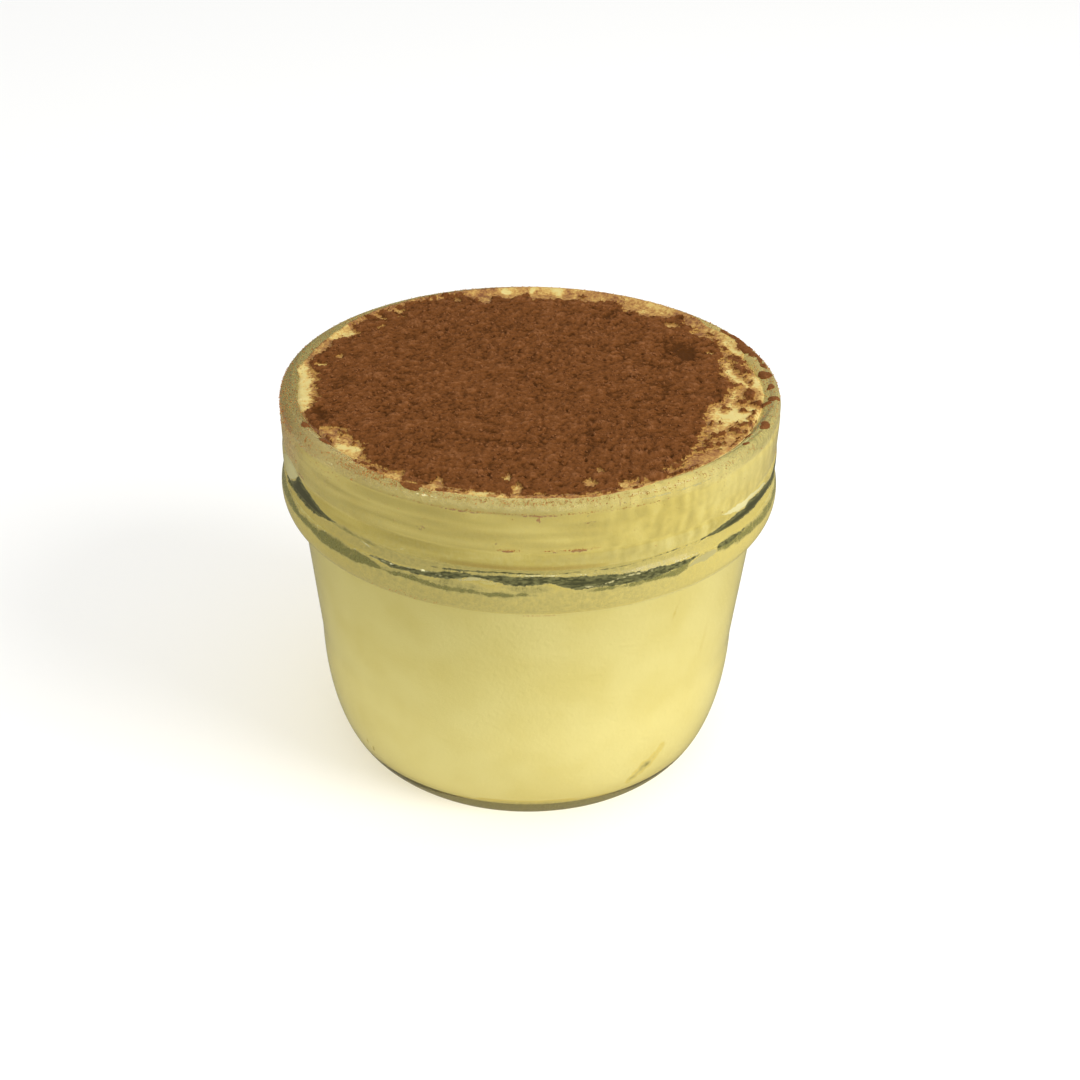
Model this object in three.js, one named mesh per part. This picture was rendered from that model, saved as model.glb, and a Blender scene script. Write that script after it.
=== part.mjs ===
// Tiramisu in a clear preserving jar: a thick glass jar without its lid, filled to the brim with
// mascarpone cream and dusted with cocoa. Millimetres, +Z up, origin at the centre of the jar's foot.

import * as THREE from "three";

// Jar, outside
const JAR_HEIGHT = 76.7;
const FOOT_INNER_RADIUS = 30;
const FOOT_RADIUS = 34;
const PUSH_UP = 1.6; // how far the middle of the base is raised
const PUSH_UP_RADIUS = 24; // the raised middle's flat part
const HEEL_HEIGHT = 25;
const HEEL_RADIUS = 41.8; // where the rounded heel meets the tapered body
const SHOULDER_RADIUS = 44.4; // the body's top, under the bead
const SHOULDER_HEIGHT = 52.1;
const BEAD_ROOT_RADIUS = 44.9; // the bead's underside starts here
const BEAD_RADIUS = 48;
const BEAD_LOW = 53;
const BEAD_HIGH = 62.2;
const BEAD_ARC_END = 62; // degrees above its middle, where the groove cuts the bead's arc
const GROOVE_RADIUS = 46.5;
const COLLAR_LOW = 63.3;
const COLLAR_RADIUS = 47.4;
const LEDGE_HEIGHT = 66.7; // a fine ledge that runs round the collar
const SEAM_HEIGHT = 73.8; // the mould's seam under the rounded rim
const LINE_DEPTH = 0.45; // depth of the ledge's and the seam's lines

// Jar, rim and inside
const RIM_CREST_RADIUS = 46.2;
const RIM_OUTER_DROP = 2.6;
const RIM_INNER_DROP = 1.8;
const MOUTH_RADIUS = 43.6;
const NECK_RADIUS = 41.4; // inside, level with the bead
const NECK_HEIGHT = 56.7;
const WAIST_RADIUS = 39.4; // inside, where the inner heel starts
const WAIST_HEIGHT = 22.7;
const FLOOR_RADIUS = 31; // inside, where the heel ends over the foot's ring
const FLOOR_HEIGHT = 3.5;
const FLOOR_MIDDLE_HEIGHT = 4.9; // over the raised middle of the base

// Contents
const GAP = 0.3; // clearance between touching pieces
const CREAM_LEVEL = 75.9;
const CREAM_RELIEF = 0.3;
const COCOA_RADIUS = 43;
const COCOA_THICKNESS = 0.9;
const COCOA_EDGE_THICKNESS = 0.35;
const COCOA_EDGE_SHARE = 0.06; // of the reach, over which the edge rises to the full thickness
const COCOA_RELIEF = 0.3;
const COCOA_RAGGEDNESS = 0.45;

// Facets
const JAR_SIDES = 64;
const CONTENTS_SIDES = 108;
const COCOA_RINGS = 13;
const CREAM_RING_STEPS = [0, 0.8, 1.8, 3, 4.3, 5.7, 7.2, 8.8, 12, 18, 28]; // in from the wall
const SEED = 20;

// Bays where the cocoa stops short of the rim: direction in degrees (0 at +X, 90 at +Y),
// half-width in degrees and depth towards the middle.
const BAYS = [
  { towards: -20, spread: 12, depth: 8 },
  { towards: 2, spread: 11, depth: 6 },
  { towards: 20, spread: 8, depth: 2.5 },
  { towards: 60, spread: 11, depth: 5 },
  { towards: 90, spread: 16, depth: 3 },
  { towards: 192, spread: 7, depth: 2.6 },
  { towards: 219, spread: 7, depth: 3 },
];

// Clumps of cocoa that lie by themselves on the bare cream: direction in degrees, distance from
// the middle, radius and height.
const CLUMPS = [
  { towards: -24, out: 40.6, radius: 1.9, height: 0.8 },
  { towards: -16, out: 38.4, radius: 1.6, height: 0.6 },
  { towards: -8, out: 40.2, radius: 2.2, height: 0.8 },
  { towards: 1, out: 41, radius: 1.8, height: 0.7 },
  { towards: 14, out: 40.9, radius: 2.3, height: 0.8 },
  { towards: 62, out: 41.2, radius: 1.8, height: 0.6 },
  { towards: 217, out: 41.6, radius: 1.7, height: 0.5 },
];

const DEGREE = Math.PI / 180;

// Repeatable random numbers from 0 to 1.
function randomSource(seed) {
  let state = seed;
  return () => {
    state = (state + 0x6d2b79f5) | 0;
    let mixed = Math.imul(state ^ (state >>> 15), 1 | state);
    mixed = (mixed + Math.imul(mixed ^ (mixed >>> 7), 61 | mixed)) ^ mixed;
    return ((mixed ^ (mixed >>> 14)) >>> 0) / 4294967296;
  };
}

// A bumpy field between about -1 and 1: waves of random direction and phase, shortest to longest.
function bumpyField(random, shortest, longest, count) {
  const waves = Array.from({ length: count }, (_, i) => {
    const length = shortest * (longest / shortest) ** (i / (count - 1));
    const heading = random() * 2 * Math.PI;
    const turns = (2 * Math.PI) / length;
    const phase = random() * 2 * Math.PI;
    return { x: Math.cos(heading) * turns, y: Math.sin(heading) * turns, phase };
  });
  const share = 1 / Math.sqrt(count);
  return (x, y) => waves.reduce((sum, w) => sum + share * Math.sin(w.x * x + w.y * y + w.phase), 0);
}

const smooth = THREE.MathUtils.smoothstep;

// The angle between two directions, from 0 to pi.
const between = (a, b) => Math.abs(Math.atan2(Math.sin(a - b), Math.cos(a - b)));

// Points of an elliptical arc; angles in degrees, 0 pointing away from the axis and 90 up.
function arc(centreR, centreZ, radiusR, radiusZ, from, to, steps) {
  return Array.from({ length: steps + 1 }, (_, i) => {
    const angle = (from + ((to - from) * i) / steps) * DEGREE;
    return new THREE.Vector2(
      centreR + radiusR * Math.cos(angle),
      centreZ + radiusZ * Math.sin(angle),
    );
  });
}

const point = (r, z) => new THREE.Vector2(r, z);

// A shallow line cut round the collar, as three points of its profile.
function fineLine(height) {
  return [
    point(COLLAR_RADIUS, height - LINE_DEPTH),
    point(COLLAR_RADIUS - LINE_DEPTH, height),
    point(COLLAR_RADIUS - LINE_DEPTH / 3, height + LINE_DEPTH),
  ];
}

// The jar's outside, from the middle of its base to the rim's crest.
function outsideProfile() {
  const beadMiddle = (BEAD_LOW + BEAD_HIGH) / 2;
  const beadHalf = (BEAD_HIGH - BEAD_LOW) / 2;
  const beadReach = BEAD_RADIUS - BEAD_ROOT_RADIUS;
  const rimStart = JAR_HEIGHT - RIM_OUTER_DROP;
  return [
    point(0, PUSH_UP),
    point(PUSH_UP_RADIUS, PUSH_UP),
    point(FOOT_INNER_RADIUS, 0),
    ...arc(FOOT_RADIUS, HEEL_HEIGHT, HEEL_RADIUS - FOOT_RADIUS, HEEL_HEIGHT, -90, 0, 8),
    point(SHOULDER_RADIUS, SHOULDER_HEIGHT),
    ...arc(BEAD_ROOT_RADIUS, beadMiddle, beadReach, beadHalf, -90, BEAD_ARC_END, 8),
    point(GROOVE_RADIUS, BEAD_HIGH),
    point(COLLAR_RADIUS, COLLAR_LOW),
    ...fineLine(LEDGE_HEIGHT),
    ...fineLine(SEAM_HEIGHT),
    ...arc(RIM_CREST_RADIUS, rimStart, COLLAR_RADIUS - RIM_CREST_RADIUS, RIM_OUTER_DROP, 15, 90, 4),
  ];
}

// The jar's inside, from just past the rim's crest down to the middle of its floor, or the same
// shape smaller by an inset, for what fills the jar.
function insideProfile(inset) {
  const mouthReach = RIM_CREST_RADIUS - MOUTH_RADIUS + inset;
  const heelReach = WAIST_RADIUS - FLOOR_RADIUS - inset;
  const heelDrop = WAIST_HEIGHT - FLOOR_HEIGHT - inset;
  const rimStart = JAR_HEIGHT - RIM_INNER_DROP;
  return [
    ...arc(RIM_CREST_RADIUS, rimStart, mouthReach, RIM_INNER_DROP, 112.5, 180, 3),
    point(NECK_RADIUS - inset, NECK_HEIGHT),
    ...arc(FLOOR_RADIUS, WAIST_HEIGHT, heelReach, heelDrop, 0, -90, 6),
    point(PUSH_UP_RADIUS, FLOOR_MIDDLE_HEIGHT + inset),
    point(0, FLOOR_MIDDLE_HEIGHT + inset),
  ];
}

// A profile turned round the Z axis.
function turned(profile, sides) {
  return new THREE.LatheGeometry(profile, sides).rotateX(Math.PI / 2);
}

// Moves every vertex of a geometry by a rule on its place.
function reshaped(geometry, rule) {
  const place = geometry.getAttribute("position");
  const vertex = new THREE.Vector3();
  for (let i = 0; i < place.count; i++) {
    vertex.fromBufferAttribute(place, i);
    rule(vertex);
    place.setXYZ(i, vertex.x, vertex.y, vertex.z);
  }
  geometry.computeVertexNormals();
  return geometry;
}

function jarGeometry() {
  return turned([...outsideProfile(), ...insideProfile(0)], JAR_SIDES);
}

const random = randomSource(SEED);
const creamBumps = bumpyField(random, 5, 22, 7);
const cocoaBumps = bumpyField(random, 4.5, 26, 9);
const edgePhases = Array.from({ length: 4 }, () => random() * 2 * Math.PI);

// How far from the middle the cocoa reaches in a direction.
function cocoaReach(direction) {
  const ragged = edgePhases.reduce(
    (sum, phase, i) => sum + Math.cos((7 + 5 * i) * direction + phase) / (i + 1),
    0,
  );
  const missing = BAYS.reduce((sum, bay) => {
    const off = between(direction, bay.towards * DEGREE) / (bay.spread * DEGREE);
    return sum + bay.depth * Math.exp(-off * off);
  }, 0);
  return COCOA_RADIUS - missing + COCOA_RAGGEDNESS * (ragged - 1);
}

// The height of the lone clumps at a place.
function clumpHeight(x, y) {
  return CLUMPS.reduce((highest, clump) => {
    const dx = x - clump.out * Math.cos(clump.towards * DEGREE);
    const dy = y - clump.out * Math.sin(clump.towards * DEGREE);
    const off = Math.hypot(dx, dy) / clump.radius;
    return Math.max(highest, clump.height * Math.sqrt(Math.max(0, 1 - off * off)));
  }, 0);
}

// The cream: what the jar's inside holds, level under the cocoa and uneven where it is bare.
function creamGeometry() {
  const edge = MOUTH_RADIUS - GAP;
  const mouthBottom = JAR_HEIGHT - RIM_INNER_DROP;
  const belowMouth = insideProfile(GAP).filter((p) => p.y < mouthBottom - GAP);
  const surface = CREAM_RING_STEPS.map((step) => point(edge - step, CREAM_LEVEL));
  const profile = [...belowMouth.reverse(), ...surface, point(0, CREAM_LEVEL)];
  return reshaped(turned(profile, CONTENTS_SIDES), (v) => {
    const r = Math.hypot(v.x, v.y);
    if (v.z < CREAM_LEVEL - GAP || r < edge / 2) return;
    const bare = smooth(r, cocoaReach(Math.atan2(v.y, v.x)) + GAP, edge);
    v.z += bare * CREAM_RELIEF * creamBumps(v.x, v.y);
    v.z += smooth(bare, 0, 0.15) * clumpHeight(v.x, v.y);
  });
}

// The cocoa: a thin lumpy layer with a ragged outline on the cream. Its profile is drawn for a
// reach and a thickness of 1, and each vertex is then moved out and up to its true place.
function cocoaGeometry() {
  const underside = CREAM_LEVEL + GAP;
  const surface = Array.from({ length: COCOA_RINGS + 1 }, (_, i) => point(1 - i / COCOA_RINGS, 1));
  const profile = [point(0, 0), point(0.5, 0), point(1, 0), ...surface];
  return reshaped(turned(profile, CONTENTS_SIDES), (v) => {
    const share = Math.hypot(v.x, v.y);
    const reach = share > 0 ? cocoaReach(Math.atan2(v.y, v.x)) : 0;
    v.x *= reach;
    v.y *= reach;
    const lumpy = COCOA_THICKNESS + COCOA_RELIEF * cocoaBumps(v.x, v.y);
    const rise = smooth(1 - share, 0, COCOA_EDGE_SHARE);
    const thickness = THREE.MathUtils.lerp(COCOA_EDGE_THICKNESS, lumpy, rise);
    v.z = underside + v.z * Math.max(COCOA_EDGE_THICKNESS, thickness);
  });
}

const glass = new THREE.MeshStandardMaterial({
  name: "glass",
  color: 0xc9cfa0,
  roughness: 0.05,
  metalness: 0,
  transparent: true,
  opacity: 0.35,
  side: THREE.DoubleSide,
});
const mascarpone = new THREE.MeshStandardMaterial({
  name: "mascarpone",
  color: 0xecdd9a,
  roughness: 0.55,
  metalness: 0,
});
const cocoaPowder = new THREE.MeshStandardMaterial({
  name: "cocoa powder",
  color: 0x78482a,
  roughness: 1,
  metalness: 0,
});

function piece(name, geometry, material) {
  const mesh = new THREE.Mesh(geometry, material);
  mesh.name = name;
  return mesh;
}

const tiramisu = new THREE.Group();
tiramisu.add(
  piece("jar", jarGeometry(), glass),
  piece("cream", creamGeometry(), mascarpone),
  piece("cocoa", cocoaGeometry(), cocoaPowder),
);

export default tiramisu;
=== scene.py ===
import math
from functools import reduce

import bpy
import numpy as np
from mathutils import Matrix, Vector


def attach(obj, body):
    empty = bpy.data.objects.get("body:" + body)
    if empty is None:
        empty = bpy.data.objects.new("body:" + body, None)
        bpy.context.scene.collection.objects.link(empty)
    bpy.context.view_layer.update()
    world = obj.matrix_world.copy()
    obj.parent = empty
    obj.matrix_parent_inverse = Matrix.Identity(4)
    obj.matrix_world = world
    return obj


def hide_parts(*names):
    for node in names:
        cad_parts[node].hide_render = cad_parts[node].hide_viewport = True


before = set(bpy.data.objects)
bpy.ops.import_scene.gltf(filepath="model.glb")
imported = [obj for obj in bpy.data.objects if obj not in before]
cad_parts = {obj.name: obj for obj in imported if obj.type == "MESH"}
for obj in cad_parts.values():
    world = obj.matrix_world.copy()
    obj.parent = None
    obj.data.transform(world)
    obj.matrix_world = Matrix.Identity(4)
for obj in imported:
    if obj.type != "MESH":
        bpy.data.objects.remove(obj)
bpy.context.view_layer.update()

# Lengths are in millimetres here, and meshes are written in metres. Directions are in degrees round
# the jar's axis: 0 to the right, 90 to the back, -90 to the front.
MM = 0.001
SEED = 20

# The jar's outside.
JAR_HEIGHT = 76.7
FOOT_INNER_RADIUS = 30
FOOT_RADIUS = 34
PUSH_UP = 1.6
PUSH_UP_RADIUS = 24
HEEL_HEIGHT = 25
HEEL_RADIUS = 41.8
SHOULDER_RADIUS = 44.4
SHOULDER_HEIGHT = 52.1
BEAD_ROOT_RADIUS = 44.9
BEAD_RADIUS = 48
BEAD_LOW = 53
BEAD_HIGH = 62.2
BEAD_ARC_END = 62
GROOVE_RADIUS = 46.5
COLLAR_LOW = 63.3
COLLAR_RADIUS = 47.4
LEDGE_HEIGHT = 66.7
SEAM_HEIGHT = 73.8
LINE_DEPTH = 0.45
# The bead's lower edge carries a fine line of painted shade at this height.
BEAD_LINE_HEIGHT = 54.6  # the fine dark line along the bead's lower edge

# The rim and the inside.
RIM_CREST_RADIUS = 46.2
RIM_OUTER_DROP = 2.6
RIM_INNER_DROP = 1.8
MOUTH_RADIUS = 43.6
NECK_RADIUS = 41.4
NECK_HEIGHT = 56.7
WAIST_RADIUS = 39.4
WAIST_HEIGHT = 22.7
FLOOR_RADIUS = 31
FLOOR_HEIGHT = 3.5
FLOOR_MIDDLE_HEIGHT = 4.9

# The cream and the cocoa.
INTO_GLASS = 0.25  # how far the cream reaches into the wall, so that no air gap shows
INTO_RIM = 0.15  # and into the rim, where it lies over it
CREAM_LEVEL = 76.0
CREAM_FILM = 0.12  # thickness of the cream smeared up the rim's inner slope
COCOA_DEPTH = 0.75
COCOA_INSET = 0.15  # how far the cocoa's edge stays inside the cream's
COCOA_SUNK = 0.25  # how far the cocoa's surface dips under the cream where there is none
COCOA_TOP = 77.4  # no crest of the cocoa is higher
COCOA_UNDERSIDE = CREAM_LEVEL - 0.7
UNDERSIDE_RADIUS = 42.5  # the last ring of the cocoa's flat underside before its middle

# How finely the surfaces are cut.
GLASS_SIDES = 480
CREAM_GRID = 190
COCOA_GRID = 296
CORNER_REACH = 0.9  # how far along an outline its corners are rounded
CRUMB_THROWS = 26000

# The sides of the seeded tables behind the noise and the lumps, and how many cells a flat surface is
# moved by, so that no cell has a number below 0.
SLOPE_TABLE = 256
LUMP_TABLE = 128
FLAT_SHIFT = 90


# --- number fields -----------------------------------------------------------------------------

def smoothstep(low, high, x):
    """0 below low, 1 above high, and 3t^2 - 2t^3 between them."""
    t = np.clip((x - low) / (high - low), 0, 1)
    return t * t * (3 - 2 * t)


def strongest(*layers):
    """The highest of several fields at each point."""
    return reduce(np.maximum, layers)


def grain(u, v, number, wrap=SLOPE_TABLE):
    """Gradient noise, about -1 to 1, on a lattice of unit cells that repeats after wrap cells in u.
    Each cell blends the dot products of its four corners' unit slopes, drawn from the seeded table
    of the given number, with the fade 6t^5 - 15t^4 + 10t^3."""
    slopes = np.random.default_rng(SEED + number).random((SLOPE_TABLE, SLOPE_TABLE)) * 2 * np.pi
    i, j = np.floor(u).astype(int), np.floor(v).astype(int)
    u, v = u - i, v - j

    def corner(di, dj):
        angle = slopes[(i + di) % wrap % SLOPE_TABLE, (j + dj) % SLOPE_TABLE]
        return np.cos(angle) * (u - di) + np.sin(angle) * (v - dj)

    fade_u = u * u * u * (u * (u * 6 - 15) + 10)
    fade_v = v * v * v * (v * (v * 6 - 15) + 10)
    low = corner(0, 0) * (1 - fade_u) + corner(1, 0) * fade_u
    high = corner(0, 1) * (1 - fade_u) + corner(1, 1) * fade_u
    return 1.5 * (low * (1 - fade_v) + high * fade_v)


def flat_grain(x, y, *layers):
    """Noise over a flat surface: the sum of layers, each with its height, the size of its cells and
    the number of its table."""
    return sum(
        high * grain(x / size + FLAT_SHIFT, y / size + FLAT_SHIFT, number) for high, size, number in layers
    )


def wall_grain(direction, z, *layers, stretch=1.0):
    """Noise over the jar's wall: the sum of layers as on a flat surface, in cells that are longer
    round the jar by the stretch, with a whole number of cells to the turn."""
    total = 0
    for high, size, number in layers:
        cells = max(4, round(2 * math.pi * NECK_RADIUS / (size * stretch)))
        total = total + high * grain(direction / 360 * cells + cells, z / size, number, cells)
    return total


def lumps(x, y, size, number):
    """Rounded lumps over a flat surface, 0 to 1 high: one in each cell of a square lattice, with a
    place, a width w of 0.4 to 1 cell and a height h of its own, and h (1 - (d / w)^2) at the
    distance d from its middle."""
    places = np.random.default_rng(SEED + number).random((4, LUMP_TABLE, LUMP_TABLE))
    place_x, place_y, width, tall = places
    i, j = np.floor(x / size).astype(int), np.floor(y / size).astype(int)
    high = np.zeros_like(x)
    for di in (-1, 0, 1):
        for dj in (-1, 0, 1):
            cell = (i + di) % LUMP_TABLE, (j + dj) % LUMP_TABLE
            far = np.hypot(x / size - i - di - place_x[cell], y / size - j - dj - place_y[cell])
            high = np.maximum(high, tall[cell] * (1 - (far / (0.4 + 0.6 * width[cell])) ** 2))
    return high


def round_table(table, direction, column):
    """A column of a table whose first column is the direction, read in between its rows and all
    the way round."""
    rows = np.array(sorted(table), float)
    return np.interp(direction, rows[:, 0], rows[:, column], period=360)


# --- outlines ----------------------------------------------------------------------------------

def arc(centre_r, centre_z, reach_r, reach_z, start, end, steps=24):
    """Points of an elliptical arc in the plane of the jar's axis; angles in degrees, 0 outwards and
    90 up: r = centre + reach cos a, z = centre + reach sin a."""
    a = np.radians(np.linspace(start, end, steps + 1))
    return np.stack([centre_r + reach_r * np.cos(a), centre_z + reach_z * np.sin(a)], 1)


def fine_line(height):
    """Three points of a shallow line that runs round the collar."""
    return np.array([
        [COLLAR_RADIUS, height - LINE_DEPTH],
        [COLLAR_RADIUS - LINE_DEPTH, height],
        [COLLAR_RADIUS - LINE_DEPTH / 3, height + LINE_DEPTH],
    ])


def outside_outline():
    """The jar's outside from the middle of its base to the rim's crest."""
    bead_middle = (BEAD_LOW + BEAD_HIGH) / 2
    bead_half = (BEAD_HIGH - BEAD_LOW) / 2
    bead_reach = BEAD_RADIUS - BEAD_ROOT_RADIUS
    rim_start = JAR_HEIGHT - RIM_OUTER_DROP
    rim_reach = COLLAR_RADIUS - RIM_CREST_RADIUS
    return np.concatenate([
        [[0, PUSH_UP], [PUSH_UP_RADIUS, PUSH_UP], [FOOT_INNER_RADIUS, 0]],
        arc(FOOT_RADIUS, HEEL_HEIGHT, HEEL_RADIUS - FOOT_RADIUS, HEEL_HEIGHT, -90, 0),
        [[SHOULDER_RADIUS, SHOULDER_HEIGHT]],
        arc(BEAD_ROOT_RADIUS, bead_middle, bead_reach, bead_half, -90, BEAD_ARC_END),
        [[GROOVE_RADIUS, BEAD_HIGH], [COLLAR_RADIUS, COLLAR_LOW]],
        fine_line(LEDGE_HEIGHT),
        fine_line(SEAM_HEIGHT),
        arc(RIM_CREST_RADIUS, rim_start, rim_reach, RIM_OUTER_DROP, 15, 90),
    ])


def inside_outline(inset):
    """The jar's inside from the rim's crest down to the middle of its floor, moved inwards and up
    by inset."""
    mouth_reach = RIM_CREST_RADIUS - MOUTH_RADIUS + inset
    heel_reach = WAIST_RADIUS - FLOOR_RADIUS - inset
    heel_drop = WAIST_HEIGHT - FLOOR_HEIGHT - inset
    rim_start = JAR_HEIGHT - RIM_INNER_DROP
    return np.concatenate([
        arc(RIM_CREST_RADIUS, rim_start, mouth_reach, RIM_INNER_DROP, 90, 180),
        [[NECK_RADIUS - inset, NECK_HEIGHT]],
        arc(FLOOR_RADIUS, WAIST_HEIGHT, heel_reach, heel_drop, 0, -90),
        [[PUSH_UP_RADIUS, FLOOR_MIDDLE_HEIGHT + inset], [0, FLOOR_MIDDLE_HEIGHT + inset]],
    ])


def run_length(line):
    """The distance along a line of points at each of them."""
    return np.concatenate([[0], np.cumsum(np.hypot(*np.diff(line, axis=0).T))])


def softened(outline, spacing, turn):
    """The outline with its corners rounded: resampled finely by length, averaged over a window that
    reaches half its points to either side, then thinned to a point for every spacing of length or
    turn of direction. The spacing is a table of heights and lengths."""
    half = 6
    fine = CORNER_REACH / half
    along = run_length(outline)
    at = np.linspace(0, along[-1], int(along[-1] / fine))
    line = np.stack([np.interp(at, along, outline[:, k]) for k in (0, 1)], 1)
    window = np.hanning(2 * half + 3)[1:-1]
    window /= window.sum()
    before = 2 * line[0] - line[half:0:-1]
    after = 2 * line[-1] - line[-2:-half - 2:-1]
    padded = np.concatenate([before, line, after])
    line = np.stack([np.convolve(padded[:, k], window, "valid") for k in (0, 1)], 1)
    heading = np.unwrap(np.arctan2(*np.gradient(line, axis=0).T[::-1]))
    by_length = fine / np.interp(line[:, 1], *zip(*spacing))
    by_turn = np.abs(np.gradient(heading)) / math.radians(turn)
    count = np.cumsum(by_length + by_turn)
    picks = np.linspace(count[0], count[-1], int(count[-1]))
    return np.stack([np.interp(picks, count, line[:, k]) for k in (0, 1)], 1)


def rim_height(r):
    """The height of the rounded rim at a radius: a quarter ellipse from the mouth up to the crest,
    and another down to the collar."""
    inner = (RIM_CREST_RADIUS - r) / (RIM_CREST_RADIUS - MOUTH_RADIUS)
    outer = (r - RIM_CREST_RADIUS) / (COLLAR_RADIUS - RIM_CREST_RADIUS)
    across = np.clip(np.maximum(inner, outer), 0, 1)
    drop = np.where(inner > 0, RIM_INNER_DROP, RIM_OUTER_DROP)
    return JAR_HEIGHT - drop + drop * np.sqrt(1 - across ** 2)


def rim_point(direction, along):
    """Points on the glass and the way that it faces there, from a direction and a distance along
    the outline: 0 on the rim's crest, up into the mouth, and less down the outside."""
    down, into = 60, 30  # how many points of each outline lie near enough
    line = np.concatenate([outside_outline()[-down:], inside_outline(0)[1:into]])
    length = run_length(line)
    length -= length[down - 1]
    slope = np.gradient(line, length, axis=0)
    r, z, way_r, way_z = (np.interp(along, length, c) for c in (*line.T, *slope.T))
    a = np.radians(direction)
    points = np.stack([r * np.cos(a), r * np.sin(a), z], -1)
    facing = np.stack([way_z * np.cos(a), way_z * np.sin(a), -way_r], -1)
    return points, facing / np.linalg.norm(facing, axis=-1, keepdims=True)


# --- meshes ------------------------------------------------------------------------------------

def mesh_piece(name, points, faces, material, **fields):
    """A mesh object at the origin from points and arrays of triangles or quads, smooth shaded, with
    each field stored as a number on every point."""
    mesh = bpy.data.meshes.new(name)
    mesh.from_pydata(points * MM, [], [face for group in faces for face in group.tolist()])
    mesh.shade_smooth()
    for key, values in fields.items():
        mesh.attributes.new(key, "FLOAT", "POINT").data.foreach_set("value", values.astype(np.float32))
    mesh.materials.append(material)
    obj = bpy.data.objects.new(name, mesh)
    bpy.context.scene.collection.objects.link(obj)
    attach(obj, "root")
    return obj


def ring_faces(rings, sides, first=0):
    """Quads between rings of points, each closed on itself; ring k starts at first + k * sides."""
    k, i = np.meshgrid(np.arange(rings - 1), np.arange(sides), indexing="ij")
    here, after = first + k * sides + i, first + k * sides + (i + 1) % sides
    return np.stack([here, after, after + sides, here + sides], -1).reshape(-1, 4)


def fan_faces(tip, ring, rising):
    """Triangles from a point to each step of a closed ring of points, which faces up where the ring
    runs anticlockwise and rising is true."""
    after = np.roll(ring, -1)
    order = (ring, after) if rising else (after, ring)
    return np.stack([np.full(len(ring), tip), *order], 1)


def turned_rings(r, z, directions):
    """Rings of points (r cos a, r sin a, z) for each r and z of an outline."""
    a = np.radians(directions)
    z_rows = np.repeat(z[:, None], len(a), 1)
    return np.stack([np.outer(r, np.cos(a)), np.outer(r, np.sin(a)), z_rows], -1)


def disc_grid(n):
    """A square grid of n by n points laid on the unit disc with even cells: a point (a, b) of the
    square from -1 to 1 goes to the radius max(|a|, |b|) and a direction that turns evenly along
    the square's side. Returns x, y, the faces and the points of the outer edge, anticlockwise."""
    a, b = np.meshgrid(np.linspace(-1, 1, n), np.linspace(-1, 1, n))
    wide = np.abs(a) > np.abs(b)
    r = np.where(wide, a, b)
    share = np.divide(np.where(wide, b, a), r, out=np.zeros_like(a), where=r != 0)
    turn = np.where(wide, np.pi / 4 * share, np.pi / 2 - np.pi / 4 * share)
    i, j = np.meshgrid(np.arange(n - 1), np.arange(n - 1))
    k = j * n + i
    faces = np.stack([k, k + 1, k + n + 1, k + n], -1).reshape(-1, 4)
    steps = np.arange(n - 1)
    edge = np.concatenate([steps, steps * n + n - 1, n * n - 1 - steps, (n - 1 - steps) * n])
    return (r * np.cos(turn)).ravel(), (r * np.sin(turn)).ravel(), faces, edge


def closed_below(top, grid, edge, rings, pole_height):
    """The points and faces of a surface laid out as a disc grid, whose edge goes on in rings of
    points that end in one point on the axis below."""
    points = np.concatenate([top, rings.reshape(-1, 3), [[0, 0, pole_height]]])
    sides = len(edge)
    first = len(top) + np.arange(sides)
    return points, (
        grid,
        np.stack([np.roll(edge, -1), edge, first, np.roll(first, -1)], 1),
        ring_faces(len(rings), sides, len(top))[:, ::-1],
        fan_faces(len(points) - 1, first + (len(rings) - 1) * sides, False),
    )


def scattered(shape, faces, places, sizes, rng):
    """Copies of a small closed shape, each turned at random, scaled to its own size and moved to
    its place: R(q) from a random unit quaternion. Returns the points and faces of them all."""
    q = rng.normal(size=(len(places), 4))
    w, x, y, z = (q / np.linalg.norm(q, axis=1, keepdims=True)).T
    turn = np.stack([
        1 - 2 * (y * y + z * z), 2 * (x * y - z * w), 2 * (x * z + y * w),
        2 * (x * y + z * w), 1 - 2 * (x * x + z * z), 2 * (y * z - x * w),
        2 * (x * z - y * w), 2 * (y * z + x * w), 1 - 2 * (x * x + y * y),
    ], -1).reshape(-1, 3, 3)
    points = np.einsum("nij,kj->nki", turn, shape) * sizes[:, None, None] + places[:, None]
    shift = np.arange(len(places))[:, None, None] * len(shape)
    return points.reshape(-1, 3), (faces[None] + shift).reshape(-1, faces.shape[1])


# --- materials ---------------------------------------------------------------------------------

def srgb(*levels):
    """A linear colour from red, green and blue levels of 0 to 255."""
    c = np.array(levels) / 255
    return (*np.where(c <= 0.04045, c / 12.92, ((c + 0.055) / 1.055) ** 2.4), 1.0)


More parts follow.
